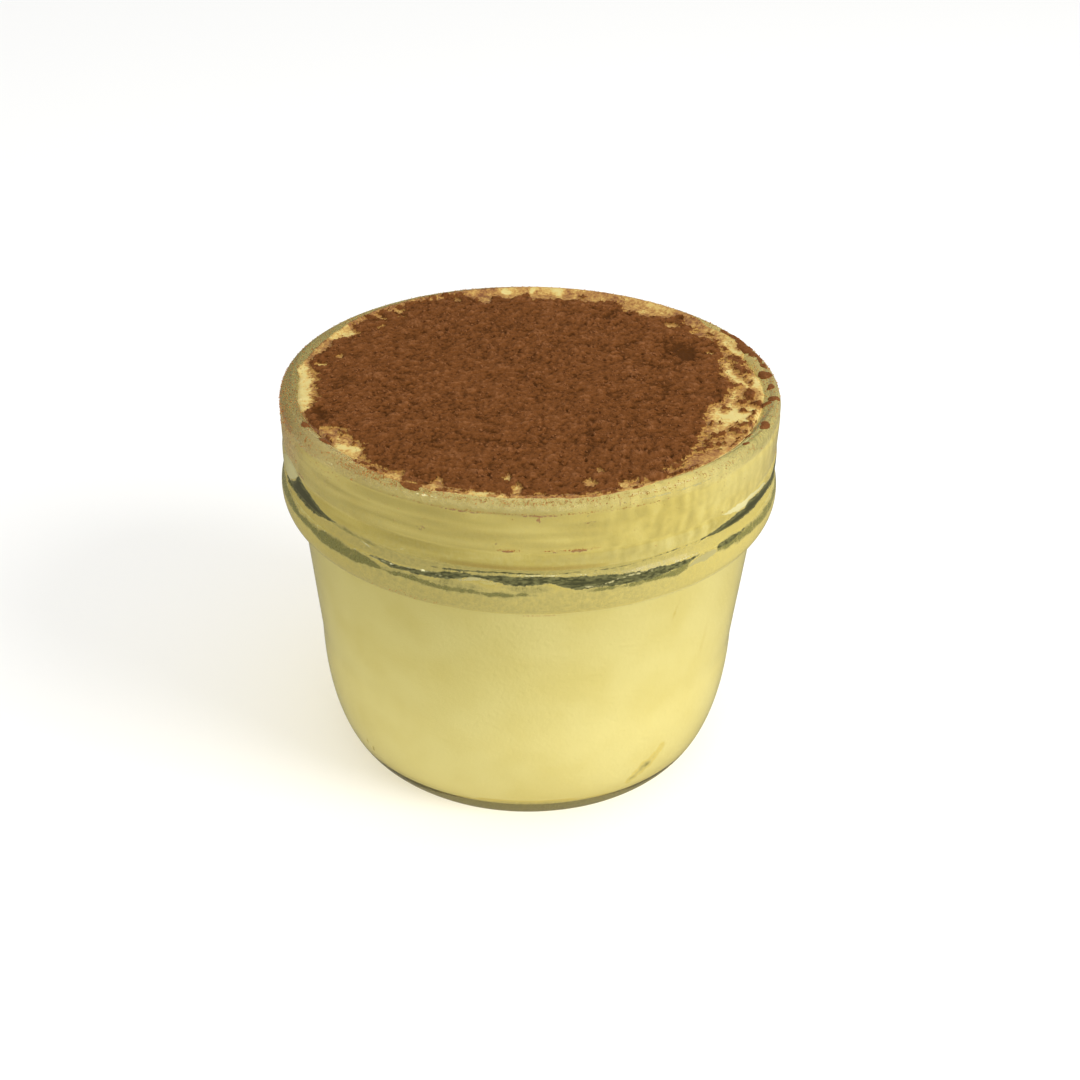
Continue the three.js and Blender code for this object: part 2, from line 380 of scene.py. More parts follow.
class Finish:
    """A material and its nodes, with short calls that add a node and link it."""

    def __init__(self, name):
        self.material = bpy.data.materials.new(name)
        self.material.use_nodes = True
        self.tree = self.material.node_tree
        self.surface = self.tree.nodes["Principled BSDF"]
        self.place = self.add("ShaderNodeTexCoord").outputs["Object"]

    def add(self, kind, **settings):
        """A new node with its settings."""
        node = self.tree.nodes.new(kind)
        for key, value in settings.items():
            setattr(node, key, value)
        return node

    def put(self, socket, value):
        """Links an output to a socket, or sets the socket to a plain value."""
        if isinstance(value, bpy.types.NodeSocket):
            self.tree.links.new(value, socket)
        else:
            socket.default_value = value

    def field(self, name):
        """A number stored on the mesh's points."""
        return self.add("ShaderNodeAttribute", attribute_name=name).outputs["Fac"]

    def noise(self, size, detail=3.0, roughness=0.5, stretch=(1, 1, 1)):
        """Noise of about the given size in millimetres, read from the object's own coordinates."""
        spread = self.add("ShaderNodeMapping")
        self.put(spread.inputs["Vector"], self.place)
        spread.inputs["Scale"].default_value = stretch
        node = self.add("ShaderNodeTexNoise")
        self.put(node.inputs["Vector"], spread.outputs["Vector"])
        node.inputs["Scale"].default_value = 1 / (size * MM)
        node.inputs["Detail"].default_value = detail
        node.inputs["Roughness"].default_value = roughness
        return node.outputs["Fac"]

    def between(self, value, low, high, to_low=0.0, to_high=1.0):
        """Value from low..high to to_low..to_high, with soft ends."""
        node = self.add("ShaderNodeMapRange", interpolation_type="SMOOTHSTEP")
        for key, number in zip(("Value", "From Min", "From Max", "To Min", "To Max"),
                               (value, low, high, to_low, to_high)):
            self.put(node.inputs[key], number)
        return node.outputs["Result"]

    def maths(self, operation, a, b, c=0.0):
        """A sum, product or the like of two or three values."""
        node = self.add("ShaderNodeMath", operation=operation)
        for socket, value in zip(node.inputs, (a, b, c)):
            self.put(socket, value)
        return node.outputs["Value"]

    def mix(self, share, a, b):
        """Colour a where the share is 0 and colour b where it is 1."""
        node = self.add("ShaderNodeMix", data_type="RGBA")
        self.put(node.inputs[0], share)
        self.put(node.inputs[6], a)
        self.put(node.inputs[7], b)
        return node.outputs[2]

    def fade(self, value, low, high, a, b):
        """Colour a where the value is low and colour b where it is high."""
        return self.mix(self.between(value, low, high), a, b)

    def bump(self, height, distance, strength=1.0):
        """Fine relief, with the given distance in millimetres between its lows and highs."""
        node = self.add("ShaderNodeBump")
        self.put(node.inputs["Height"], height)
        node.inputs["Distance"].default_value = distance * MM
        node.inputs["Strength"].default_value = strength
        self.put(self.surface.inputs["Normal"], node.outputs["Normal"])

    def set(self, **values):
        """Sets sockets of the Principled shader; _ stands for a space in a socket's name."""
        for key, value in values.items():
            self.put(self.surface.inputs[key.replace("_", " ")], value)


# The glass and what lies on it.
CLEAR_GLASS = (0.97, 0.96, 0.86, 1)
GLASS_TINT = (0.55, 0.6, 0.1, 1)
TINT_DENSITY = 16
GREASE = srgb(240, 226, 160)
BROWN_GREASE = srgb(172, 130, 76)
# Painted olive shade, also the colour of smudges on the glass.
OLIVE_SMUDGE_AND_SHADE = srgb(118, 116, 64)
# Painted dark shade in the groove and on the bead: its darkest flecks, its middle and its lighter flecks.
PAINTED_DARK_DEEPEST = srgb(56, 57, 25)
PAINTED_DARK_MIDDLE = srgb(58, 59, 28)
PAINTED_DARK_FLECK = srgb(112, 110, 64)
# Painted glints, which are painted highlights, from dull to bright.
DULL_GLINT = srgb(170, 160, 104)
BRIGHT_GLINT = srgb(255, 248, 190)
COCOA_SPECK = srgb(152, 110, 60)
# The cream and the dusting on it.
CREAM = srgb(255, 238, 164)
CREAM_CLOUD = srgb(249, 230, 150)
# Deeper cream for the top, and painted shade on the cream against the glass.
CREAM_DEEP_AND_SHADE = srgb(188, 169, 96)
# Paler cream: painted highlight on the crests of the top, and paler streaks against the glass.
CREAM_PALE = srgb(246, 234, 178)
DUST_THIN = srgb(210, 176, 94)
DUST_TAN = srgb(172, 124, 60)
DUST_BROWN = srgb(128, 78, 40)
# The cocoa, heaped and in single grains.
# Painted shade in the cocoa's pits, its plain brown, and painted highlight on its crests.
COCOA_PIT_SHADE = srgb(82, 47, 16)
COCOA_BROWN = srgb(115, 69, 32)
COCOA_CREST_HIGHLIGHT = srgb(140, 91, 53)
COCOA_THIN = srgb(186, 143, 76)
GRAIN_BROWN = srgb(150, 92, 46)
GRAIN_TAN = srgb(184, 126, 70)


def glass_finish():
    """Clear glass with a light olive tint. On it lie a haze of grease, smudges and painted olive shade,
    painted dark shade in the groove and on the bead, painted pale glints (painted highlights), and
    specks of cocoa. The glass is clear where none of them covers it, and less clear the more they cover."""
    glass = Finish("olive_glass")
    mottled = glass.between(glass.noise(0.9, 5, 0.7), 0.3, 0.7, 0.6, 1.0)
    haze = glass.maths("MULTIPLY", glass.field("haze"), mottled)
    speckle = glass.maths("ADD", glass.noise(0.5, 3, 0.7), glass.field("specks"))
    specks = glass.between(speckle, 1.0, 1.12)
    ragged = glass.maths("MULTIPLY_ADD", glass.noise(0.9, 5, 0.65), 0.8, -0.4)
    # Painted dark shade, painted glints and painted olive shade, each from its field, with ragged edges.
    dark = glass.between(glass.maths("ADD", glass.field("dark"), ragged), -0.06, 0.08)
    glint = glass.between(glass.maths("ADD", glass.field("glint"), ragged), -0.1, 0.1)
    shade = glass.maths("MULTIPLY", glass.field("shade"), mottled)

    cover = glass.maths("MULTIPLY", haze, 0.8)
    for share, strength in ((shade, 0.9), (dark, 0.96), (glint, 0.85), (specks, 0.85)):
        cover = glass.maths("MAXIMUM", cover, glass.maths("MULTIPLY", share, strength))
    film = glass.mix(glass.field("grime"), GREASE, BROWN_GREASE)
    colour = glass.fade(cover, 0.0, 0.05, CLEAR_GLASS, film)
    colour = glass.fade(shade, 0.0, 0.7, colour, OLIVE_SMUDGE_AND_SHADE)
    # The painted dark shade is flecked at its edges and evenly dark in the middle of its bands.
    flecks = glass.noise(0.5, 4, 0.6, stretch=(0.5, 0.5, 2))
    flecks = glass.fade(flecks, 0.36, 0.64, PAINTED_DARK_DEEPEST, PAINTED_DARK_FLECK)
    flecks = glass.fade(glass.field("dark"), 0.5, 1.0, flecks, PAINTED_DARK_MIDDLE)
    colour = glass.mix(dark, colour, flecks)
    bright = glass.mix(glass.field("bright"), DULL_GLINT, BRIGHT_GLINT)
    colour = glass.mix(glint, colour, bright)
    colour = glass.mix(specks, colour, COCOA_SPECK)
    clear = glass.maths("SUBTRACT", 1.0, cover)
    glass.set(Base_Color=colour, Roughness=glass.between(cover, 0, 1, 0.03, 0.4))
    glass.set(IOR=1.5, Transmission_Weight=clear)
    tint = glass.add("ShaderNodeVolumeAbsorption")
    tint.inputs["Color"].default_value = GLASS_TINT
    tint.inputs["Density"].default_value = TINT_DENSITY
    out = glass.tree.nodes["Material Output"]
    glass.put(out.inputs["Volume"], tint.outputs["Volume"])
    return glass.material


def cream_finish():
    """Mascarpone cream: two pale yellows in soft clouds, deeper by the tone field and paler by the pale
    field, which carry painted shade and painted highlight as well as the cream's own tone, and tan to
    brown where cocoa has dusted it."""
    cream = Finish("mascarpone")
    colour = cream.fade(cream.noise(11, 4, 0.5), 0.3, 0.74, CREAM, CREAM_CLOUD)
    colour = cream.mix(cream.field("tone"), colour, CREAM_DEEP_AND_SHADE)
    colour = cream.mix(cream.field("pale"), colour, CREAM_PALE)
    fine = cream.maths("MULTIPLY_ADD", cream.noise(0.6, 5, 0.7), 2.2, -1.1)
    dusting = cream.maths("ADD", cream.field("dust"), fine)
    tan = cream.fade(dusting, 0.25, 0.75, DUST_THIN, DUST_TAN)
    tan = cream.fade(dusting, 0.7, 1.15, tan, DUST_BROWN)
    colour = cream.fade(dusting, 0.05, 0.4, colour, tan)
    cream.set(Base_Color=colour, Roughness=0.5)
    cream.bump(cream.noise(1.0, 4, 0.55), 0.16, 0.7)
    return cream.material


def cocoa_finish():
    """Dry cocoa powder: browns with painted shade in the pits and a painted highlight on the crests,
    turning tan where it lies thin."""
    cocoa = Finish("cocoa_powder")
    speckle = cocoa.maths("MULTIPLY_ADD", cocoa.noise(0.45, 4, 0.7), 1.2, -0.6)
    relief = cocoa.maths("ADD", cocoa.field("relief"), speckle)
    colour = cocoa.fade(relief, -0.1, 0.34, COCOA_PIT_SHADE, COCOA_BROWN)
    colour = cocoa.fade(relief, 0.34, 0.85, colour, COCOA_CREST_HIGHLIGHT)
    thin = cocoa.maths("MULTIPLY_ADD", cocoa.noise(0.6, 5, 0.7), 1.6, cocoa.field("thin"))
    colour = cocoa.fade(thin, 1.05, 1.6, colour, COCOA_THIN)
    cocoa.set(Base_Color=colour, Roughness=1.0, Specular_IOR_Level=0.1)
    cocoa.bump(cocoa.noise(0.7, 5, 0.65), 0.5, 1.0)
    return cocoa.material


def dusting_finish():
    """Single grains of cocoa, lighter and more orange than the heap."""
    dusting = Finish("cocoa_dusting")
    colour = dusting.fade(dusting.noise(0.8, 2), 0.35, 0.65, GRAIN_BROWN, GRAIN_TAN)
    dusting.set(Base_Color=colour, Roughness=1.0, Specular_IOR_Level=0.1)
    return dusting.material


# --- where the cocoa lies ----------------------------------------------------------------------

# The cocoa's edge: direction, how far out it reaches, and how wide its ragged border is.
COCOA_EDGE = (
    (-178, 40, 0.7), (-175, 40.9, 0.6), (-171, 40.6, 0.7), (-168, 40.3, 0.7), (-165, 41.1, 0.7),
    (-162, 42.2, 0.6), (-160, 43.6, 0.6), (-157, 43.9, 0.8), (-155, 45.2, 0.9), (-153.5, 46.2, 0.8),
    (-152, 44.8, 0.9), (-150.6, 42.4, 1), (-149, 40, 1.1), (-146, 39.3, 1.1), (-143, 39.8, 1),
    (-140, 40, 1), (-137.5, 39, 0.9), (-135, 40.6, 0.8), (-133.5, 42.4, 0.8), (-131, 43.2, 0.8),
    (-128, 43.8, 1.1), (-125, 43.6, 1.2), (-122.5, 43.8, 1), (-120.5, 42.7, 0.8), (-118.8, 44, 0.8),
    (-117.6, 46.3, 0.6), (-112.6, 46.3, 0.6), (-111.4, 42.4, 0.6), (-109.8, 43, 0.7), (-108.6, 44.4, 1),
    (-106, 44.6, 1.1), (-104, 44.2, 0.9), (-100, 43.9, 0.7), (-96, 43.8, 0.7), (-94.4, 45.8, 0.6),
    (-93.2, 44, 0.8), (-91.4, 45.7, 1), (-86, 45.6, 1.3), (-80, 45.9, 1.1), (-73, 46.2, 0.9),
    (-70, 45.7, 0.8), (-68.8, 42.2, 0.8), (-65, 42.2, 1), (-62.6, 43.2, 0.9), (-61.2, 44.5, 0.4),
    (-57.5, 44.5, 0.4), (-56.2, 41.8, 0.8), (-50, 41.5, 1), (-47, 40.4, 1), (-43, 39.4, 1),
    (-39, 38.6, 1.1), (-36, 37.6, 1), (-31, 36.6, 1), (-26, 36, 1), (-21, 34.4, 0.9), (-17, 34.3, 0.9),
    (-13, 36, 0.9), (-9, 37, 0.8), (-4.4, 37.4, 0.7), (-3, 39.2, 0.7), (-0.5, 39.4, 0.7), (1.5, 37.6, 0.7),
    (8, 37.2, 0.8), (13, 37.8, 0.8), (16, 39, 0.9), (19, 40, 1), (21.5, 40.6, 1), (24.5, 41.2, 1),
    (27, 41.6, 1), (30, 42, 1.1), (33, 41, 1.4), (37, 41.4, 1.4), (40, 43.8, 1.4), (44, 44.6, 1.4),
    (47.5, 44, 1.1), (49.5, 42.2, 1), (51.5, 40.6, 0.9), (56, 39.6, 0.9), (58, 40.6, 0.8),
    (60.5, 39.6, 0.8), (62.4, 40.8, 0.9), (64.6, 43.4, 1), (66.8, 44.2, 1), (69, 42.4, 1.1), (73, 41.2, 1),
    (79, 41, 0.8), (86, 40.6, 0.8), (90.4, 40.4, 0.8), (91.4, 43.4, 0.7), (92.6, 42.8, 0.7),
    (93.8, 41.6, 0.8), (97, 40.6, 0.8), (99.6, 42, 0.9), (101.4, 42.4, 1), (102.8, 38.6, 1),
    (105, 39, 1.2), (107, 41.8, 1.2), (108.6, 44.6, 1), (113, 45, 1), (127, 44.8, 1), (140, 44.5, 1.1),
    (145.4, 44.2, 1), (147, 42.6, 0.8), (148.6, 40.2, 0.7), (151, 40.8, 0.8), (154, 41.8, 0.8),
    (157.5, 43, 0.7), (160, 42.2, 0.7), (162.5, 42.2, 0.7), (165.5, 43.2, 0.6), (171, 43.2, 0.7),
    (173.5, 42.4, 0.8), (176.5, 41.6, 0.8), (179, 40.6, 0.8),
)
# The cream's edge: direction and how far out it reaches.
CREAM_EDGE = (
    (-180, 43.9), (-170, 43.9), (-162, 44), (-155, 44.2), (-151, 43.6), (-145, 43.8), (-140, 44.2),
    (-134, 44.6), (-131, 45.6), (-122, 46.3), (-112, 46.6), (-100, 46.4), (-88, 46.2), (-76, 46.5),
    (-68, 46), (-63, 45.4), (-60, 44.4), (-48, 44.2), (-33, 44), (-18, 43.6), (-10, 44), (4, 44),
    (9, 43.6), (17, 43.8), (21, 45.2), (30, 45.4), (36, 44.8), (44, 46), (60, 46.4), (84, 46.5), (100, 46),
    (120, 45.7), (140, 45.4), (147, 45), (156, 44.6), (168, 44.4), (176, 44.9),
)
# How thickly the bare cream is dusted with cocoa, by direction.
DUSTING = (
    (-180, 0.12), (-170, 0.02), (-161, 0.24), (-156, 0.7), (-146, 0.55), (-141, 0.3), (-133, 0.3),
    (-128, 0.36), (-120, 0.28), (-113, 0.5), (-108, 0.28), (-103, 0.25), (-96, 0.25), (-91, 0.55),
    (-80, 0.6), (-70, 0.5), (-64, 0.4), (-58, 0.62), (-48, 0.72), (-38, 0.64), (-28, 0.36), (-20, 0.05),
    (-12, 0.1), (-4, 0.18), (4, 0.15), (12, 0.12), (18, 0.2), (28, 0.22), (34, 0.6), (46, 0.65),
    (50, 0.42), (62, 0.52), (68, 0.56), (74, 0.56), (82, 0.52), (90, 0.5), (96, 0.5), (99, 0.5),
    (101, 0.75), (106, 0.8), (110, 0.6), (130, 0.5), (140, 0.55), (147, 0.25), (152, 0.2), (158, 0.5),
    (168, 0.45), (173, 0.15),
)
# Ovals on the top, by direction, distance from the axis and the half-widths of both. The cleanest
# spots of the bare cream:
CLEAN_SPOTS = (
    (-171, 42.3, 6, 1), (-20, 39.4, 3, 2.4), (-7, 38.5, 3.5, 0.7), (8, 38.8, 5, 0.8),
    (20.5, 43.5, 1.5, 0.8), (27, 43.6, 1.5, 0.5), (-140, 42.9, 2.5, 0.7), (-137, 41.8, 1.6, 0.8),
    (-120.5, 43.6, 0.8, 0.6), (-126, 44.8, 0.9, 0.6), (-101, 45.4, 4, 0.7), (-97, 44.7, 2.5, 0.9),
    (-68.3, 43, 1, 0.6), (-45.6, 40.4, 1.2, 0.4), (1, 42.8, 2, 0.6), (83, 44.6, 2, 1),
    (97, 44.2, 1.5, 0.9), (90, 45, 1, 0.7), (151, 42.2, 1.5, 0.6), (148.5, 40.8, 0.8, 0.7),
    (175.5, 43.6, 3.5, 0.9), (-14, 42.2, 1.5, 0.6),
)
# Loose islands of cocoa on it:
ISLANDS = (
    (-145, 44.4, 2.2, 1.4), (-131.2, 45.6, 1.2, 0.6), (-128.6, 44.9, 1.3, 0.7), (-125.5, 45.8, 1.5, 0.5),
    (-123, 44.8, 1.2, 0.7), (-107.5, 46, 1.2, 0.5), (-149.5, 41.2, 0.6, 0.5), (-146.6, 40.6, 0.7, 0.4),
    (-144.6, 40.4, 0.6, 0.5), (-139, 40.6, 0.8, 0.35), (-136.5, 40.2, 0.4, 0.4), (-66.6, 45.6, 1, 0.4),
    (-64, 43.2, 0.8, 0.4), (-62.3, 43.2, 0.8, 0.6), (-58, 43.6, 2, 0.8), (-54.5, 43.7, 2, 0.6),
    (-51, 44, 1.6, 0.5), (-49.2, 43.6, 0.8, 0.5), (-53.3, 41.8, 1, 0.6), (-38.6, 42.8, 0.5, 0.4),
    (-33.6, 43.6, 1.6, 0.25), (-30.5, 43.4, 1.5, 0.2), (-26.5, 43.3, 1.6, 0.25), (-22, 43, 1.6, 0.35),
    (-19.5, 42.9, 1, 0.3), (-16.6, 42.8, 1.2, 0.3), (-36.2, 41.4, 0.6, 0.5), (-35, 42.2, 0.4, 0.3),
    (-42.2, 40.4, 1.5, 0.7), (-38.6, 40.6, 1.6, 0.8), (-37, 39.5, 0.9, 0.4), (-33.2, 39.2, 1.1, 0.8),
    (-31, 40.1, 1.5, 0.7), (-33.5, 41, 0.5, 0.3), (-27.6, 41.6, 1.7, 1.2), (-24, 42, 1.4, 0.7),
    (-26.6, 36.9, 1.2, 0.3), (-25.4, 38, 0.9, 0.2), (-23.6, 40.6, 0.6, 0.25), (-16.6, 37.4, 1.5, 0.7),
    (-15.4, 40.8, 1, 0.7), (-11.2, 40, 1.6, 1.1), (-6.8, 41.2, 3.2, 1.3), (-10.4, 43.4, 1.8, 1.4),
    (1.6, 42, 1.6, 0.3), (3.6, 41.4, 1.2, 0.4), (8.4, 41.5, 2.3, 1.4), (11.2, 40.6, 1.6, 0.8),
    (15.4, 41.8, 2.7, 1.4), (23, 41.8, 2, 0.6), (29, 42.2, 1.5, 0.9), (22, 44.6, 1, 0.3),
    (-103.4, 45.8, 0.8, 0.5), (-101, 44.7, 0.6, 0.5), (-97.4, 46, 0.5, 0.4), (-96.4, 44.8, 0.5, 0.5),
    (33, 43.2, 1.5, 0.5), (46, 43.5, 2.5, 1.6), (75.6, 43.8, 1, 0.7), (-93.8, 45.6, 0.5, 0.8),
)
# Spots in the cocoa where the cream shows:
BARE_SPOTS = (
    (-95.3, 38.6, 1, 1.3), (-92.6, 42, 1, 2), (-111.2, 41.6, 1.1, 0.7), (-75.6, 41, 1.6, 1.3),
    (-71, 37.4, 1.1, 1.3), (-82, 44.6, 1, 0.7), (-87.5, 44.6, 0.8, 1), (44, 39.8, 2.2, 1.1),
    (41.6, 43.4, 1.6, 0.9), (35, 40.6, 2, 0.7), (31.6, 42.3, 1.2, 0.9), (22, 38.3, 1.2, 0.5),
    (111.6, 42.4, 0.8, 1), (130, 42.6, 0.9, 1.2), (131.4, 44, 1.3, 0.5), (131.6, 40.2, 1.2, 0.5),
    (136.5, 41.9, 0.6, 0.6), (136.4, 43.4, 0.6, 0.6), (139.2, 42, 0.8, 0.4), (141.4, 39.2, 1.2, 0.6),
    (165.4, 38.5, 1.7, 0.8), (171.5, 40.3, 1, 1.6),
)
# Hollows in the cocoa, with their depth; they take the painted shade of its pits:
HOLLOWS = (
    (27, 33, 10, 4.4, 0.34), (24, 33.2, 6, 1.7, 0.36), (63.5, 36.4, 1.2, 2.6, 0.4),
    (-158, 41, 3.5, 1.4, 0.4),
)


def oval_distance(direction, across, oval):
    """The distance from an oval's middle in half-widths: 0 there and 1 on its outline. The oval lies
    on a surface that is read by the direction and by a length across it."""
    middle, middle_across, half_turn, half_across = oval
    turn = (direction - middle + 180) % 360 - 180
    return np.hypot(turn / half_turn, (across - middle_across) / half_across)


def polar(x, y):
    """The direction and the distance from the axis."""
    return np.degrees(np.arctan2(y, x)), np.hypot(x, y)


def strayed(x, y):
    """The direction and the distance from the axis, both led astray by noise in two sizes, so that
    what is laid out by them gets a ragged outline."""
    stray_x, stray_y = (flat_grain(x, y, (0.5, 1.7, k), (0.4, 0.8, k + 1)) for k in (21, 23))
    return polar(x + stray_x, y + stray_y)


def cocoa_amount(x, y):
    """How deep a point lies in the cocoa, in widths of the ragged border: the edge's reach less the
    radius, 6 at most, lowered to -2.6 by each bare spot and raised to 2 by each island, and with
    noise in three sizes."""
    direction, r = strayed(x, y)
    border = round_table(COCOA_EDGE, direction, 2)
    amount = np.minimum((round_table(COCOA_EDGE, direction, 1) - r) / border, 6)
    for oval in BARE_SPOTS:
        amount -= (amount + 2.6) * smoothstep(1.5, 0.7, oval_distance(direction, r, oval))
    for oval in ISLANDS:
        amount = np.maximum(amount, 2.0 * (1.0 - oval_distance(direction, r, oval)))
    return amount + flat_grain(x, y, (0.6, 3.1, 1), (0.7, 1.3, 2), (0.7, 0.65, 3))


def dusting_level(x, y):
    """How thickly the cream's top is dusted, 0 to 1: the level of its direction in patches, none in
    the clean spots, and more next to the cocoa."""
    direction, r = strayed(x, y)
    level = 0.1 + round_table(DUSTING, direction, 1) * (1 + flat_grain(x, y, (0.6, 2.2, 20)))
    wander = flat_grain(x, y, (0.35, 1.6, 19))
    for oval in CLEAN_SPOTS:
        level *= smoothstep(0.5, 1.4, oval_distance(direction, r, oval) + wander)
    return level + (1 - level) * smoothstep(-2.6, 0.4, cocoa_amount(x, y))


def cream_reach(direction):
    """How far out the cream's surface goes, over the rim's crest in front and at the back."""
    wander = wall_grain(direction, 0 * direction, (0.2, 2.6, 4), (0.12, 0.9, 25))
    return round_table(CREAM_EDGE, direction, 1) + wander


def cream_top(x, y):
    """The cream's surface: a level with soft waves, and where the rim is higher a film on it."""
    waves = flat_grain(x, y, (0.12, 9, 5), (0.1, 2.6, 6))
    return np.maximum(CREAM_LEVEL + waves, rim_height(np.hypot(x, y)) + CREAM_FILM)


def along_rim(x, y, lift, steps=6):
    """Rings that run from the given points back over the rim to its mouth: z = rim + lift."""
    far = np.hypot(x, y)
    r = far + np.linspace(0, 1, steps)[:, None] * (MOUTH_RADIUS - far)
    return np.stack([x / far * r, y / far * r, rim_height(r) + lift], -1)


# --- pieces ------------------------------------------------------------------------------------

# Painted dark shade in the groove under the collar and on the bead's upper flank: direction, and the
# heights that it lies between. It ends where they cross.
GROOVE_PAINTED_DARK = (
    (-168, 60.9, 60.8), (-163, 60.85, 61.7), (-157.6, 61.2, 63.8), (-153.8, 61.3, 65.3),
    (-152.4, 61.35, 67), (-150.8, 61.35, 66.6), (-148.9, 61.35, 66.3), (-146.5, 61.4, 66),
    (-144.3, 61.6, 65.4), (-141, 62.3, 64.4), (-138, 63.1, 64), (-135, 63.8, 63.7), (-111, 61.6, 61.5),
    (-107, 61.45, 61.75), (-102, 61.7, 62.05), (-98, 61.95, 62.35), (-95.7, 62.1, 62.5), (-90, 62, 62.35),
    (-86, 62, 62.15), (-80, 62.16, 62.26), (-72, 62.12, 62.26), (-68, 62.3, 62.4), (-65.8, 62.64, 62.74),
    (-61.3, 63.2, 63.3), (-58, 63.3, 63.6), (-56.3, 63.4, 63.5), (-51, 63.4, 63.6), (-47.5, 63.35, 64),
    (-42.5, 62.7, 64.6), (-39.4, 62.3, 65), (-35, 61.95, 65), (-34.2, 61.9, 65.8), (-28, 61.65, 65.5),
    (-25, 61.6, 65.5), (-20, 61.4, 64.9), (-14.5, 60.95, 66), (-8, 60.2, 66), (-3, 60.6, 64.6),
    (6, 61.1, 63), (28, 61.5, 62.6), (48, 62, 62.4), (70, 61.6, 64.2), (96, 61.5, 63), (118, 61.7, 64.6),
    (140, 61.9, 63), (158, 61.3, 64.4), (172, 61.2, 63),
)
BEAD_PAINTED_DARK = (
    (-127, 60.45, 60.4), (-125, 60.3, 60.6), (-122.8, 60.2, 60.62), (-120, 59.8, 60.6),
    (-117.5, 59.9, 60.5), (-115.2, 59.95, 60.6), (-110.6, 59.95, 60.85), (-106.3, 60.25, 61.3),
    (-104, 60.6, 61.45), (-102, 61, 61.45), (-99.5, 61, 61.4), (-98.6, 60.9, 61.45), (-96.7, 60.6, 61.55),
    (-95, 60.4, 61.6), (-92.5, 60.2, 61.6), (-87.4, 60.4, 61.6), (-85.3, 60.6, 61.5), (-83.3, 60.1, 61.5),
    (-81.2, 59.6, 61.45), (-79.2, 59.3, 61.4), (-77, 59.5, 61.3), (-72, 59.4, 61.2), (-68.3, 59.3, 60.9),
    (-63.6, 59.2, 60.8), (-61, 59.4, 60.85), (-58.8, 59.6, 60.6), (-56, 59.7, 60.6), (-53.6, 59.9, 60.5),
    (-52.6, 60.1, 60.55), (-51, 60.35, 60.5), (-50.3, 60.6, 60.5), (-45.1, 60.2, 60.1), (-44.8, 60, 60.57),
    (-41, 59.8, 60.62), (-38, 59.9, 60.6), (-35, 60.2, 60.4), (-33, 60.5, 60.3), (58, 60.4, 60.3),
    (64, 59.8, 60.6), (78, 59.6, 60.8), (88, 60.3, 60.2), (108, 60.3, 60.2), (116, 59.7, 60.7),
    (134, 60, 60.6), (142, 60.4, 60.3),
)
# Softer painted olive shade round it.
BEAD_SHADE = (
    (-178, 58.4, 60.3), (-165, 58.3, 60.6), (-158, 58.6, 60.4), (-151, 58.7, 59.9), (-147.9, 58.6, 59.95),
    (-144.1, 58.5, 60.15), (-140.3, 58.2, 60.35), (-136.6, 58.2, 60.45), (-132.9, 58.1, 60.45),
    (-129.8, 58.15, 60.4), (-126.9, 58.3, 60.3), (-124.5, 58.4, 59.9), (-122, 58.7, 59.2),
    (-118, 58.6, 59.5), (-113, 58.5, 59.6), (-108.2, 58.2, 59.2), (-101.1, 58.1, 59.1), (-97.6, 58.05, 59),
    (-91.4, 58.2, 59.2), (-88.5, 58.4, 58.9), (-86.5, 58.8, 58.6), (-79, 58.8, 58.7), (-76, 58.7, 59.4),
    (-66, 58.7, 59.4), (-60, 58.5, 59.7), (-56.3, 58.4, 59.9), (-54.2, 59, 60.3), (-53, 60, 60.4),
    (-52, 60.5, 60.3), (-45.3, 60.1, 59.9), (-44.9, 59.2, 60.57), (-43.6, 59.15, 60.6),
    (-39, 58.95, 60.66), (-33.6, 58.8, 60.35), (-28.9, 58.5, 60.2), (-22, 58.2, 60.05), (-17, 58.4, 60),
    (-12, 58.8, 59.9), (0, 58.7, 60.2), (20, 58.4, 60.5), (45, 58.7, 59.9), (60, 58.9, 60.8),
    (85, 58.5, 60.4), (110, 58.8, 60.7), (130, 59, 59.9), (150, 58.6, 60.4), (168, 58.5, 60.4),
)
# Painted pale patches and glints, painted highlights, beside it: also how bright they are, from 0 to 1.
COLLAR_GLINT = (
    (-171, 60.3, 60.2, 0), (-167.4, 61.2, 64.3, 0.02), (-166, 61.6, 65.8, 0.08), (-163, 62.2, 67.3, 0.14),
    (-159.6, 63.2, 68, 0.2), (-156, 64.8, 68.1, 0.22), (-153.6, 65.8, 67.6, 0.18),
    (-152.4, 66.9, 66.7, 0.1), (-129.5, 62.1, 62, 0.3), (-128.3, 61.8, 62, 0.3), (-126, 61.5, 61.6, 0.4),
    (-125, 61.5, 61.4, 0.3), (-119, 64, 63.9, 0.3), (-117.4, 63.95, 64.1, 0.7), (-116.4, 64.1, 64.3, 0.7),
    (-115.6, 64.3, 64.2, 0.4), (-95, 61.8, 61.7, 0.3), (-92, 61.72, 61.88, 0.4), (-87, 61.68, 61.85, 0.4),
    (-80, 61.6, 61.74, 0.4), (-74, 61.6, 61.5, 0.3), (-61, 60.95, 60.9, 0.1), (-58, 60.76, 60.84, 0.1),
    (-55.8, 60.74, 60.84, 0.2), (-52.4, 60.72, 60.88, 0.2), (-51, 60.72, 60.84, 0.1),
    (-49.6, 60.9, 60.8, 0.1), (-44.5, 66.4, 66.3, 0.3), (-41.6, 65.9, 66.5, 0.3), (-38, 65.2, 66.5, 0.35),
    (-35, 65.2, 66.4, 0.35), (-34, 65.9, 66.5, 0.3), (-27, 65.7, 66.3, 0.2), (-23.5, 65.9, 65.8, 0.1),
    (30, 60.9, 60.8, 0),
)
RIM_GLINT = (
    (-150, 75.1, 75, 0), (-114, 75.5, 75.4, 1), (-113.2, 75.5, 75.7, 1), (-110.6, 75.55, 75.75, 1),
    (-109.6, 75.7, 75.6, 1), (-70, 75.2, 75.1, 0), (-66, 75.1, 75.3, 0), (-52, 75, 75.25, 0),
    (-44, 75.2, 75.1, 0), (60, 75.1, 75, 0),
)
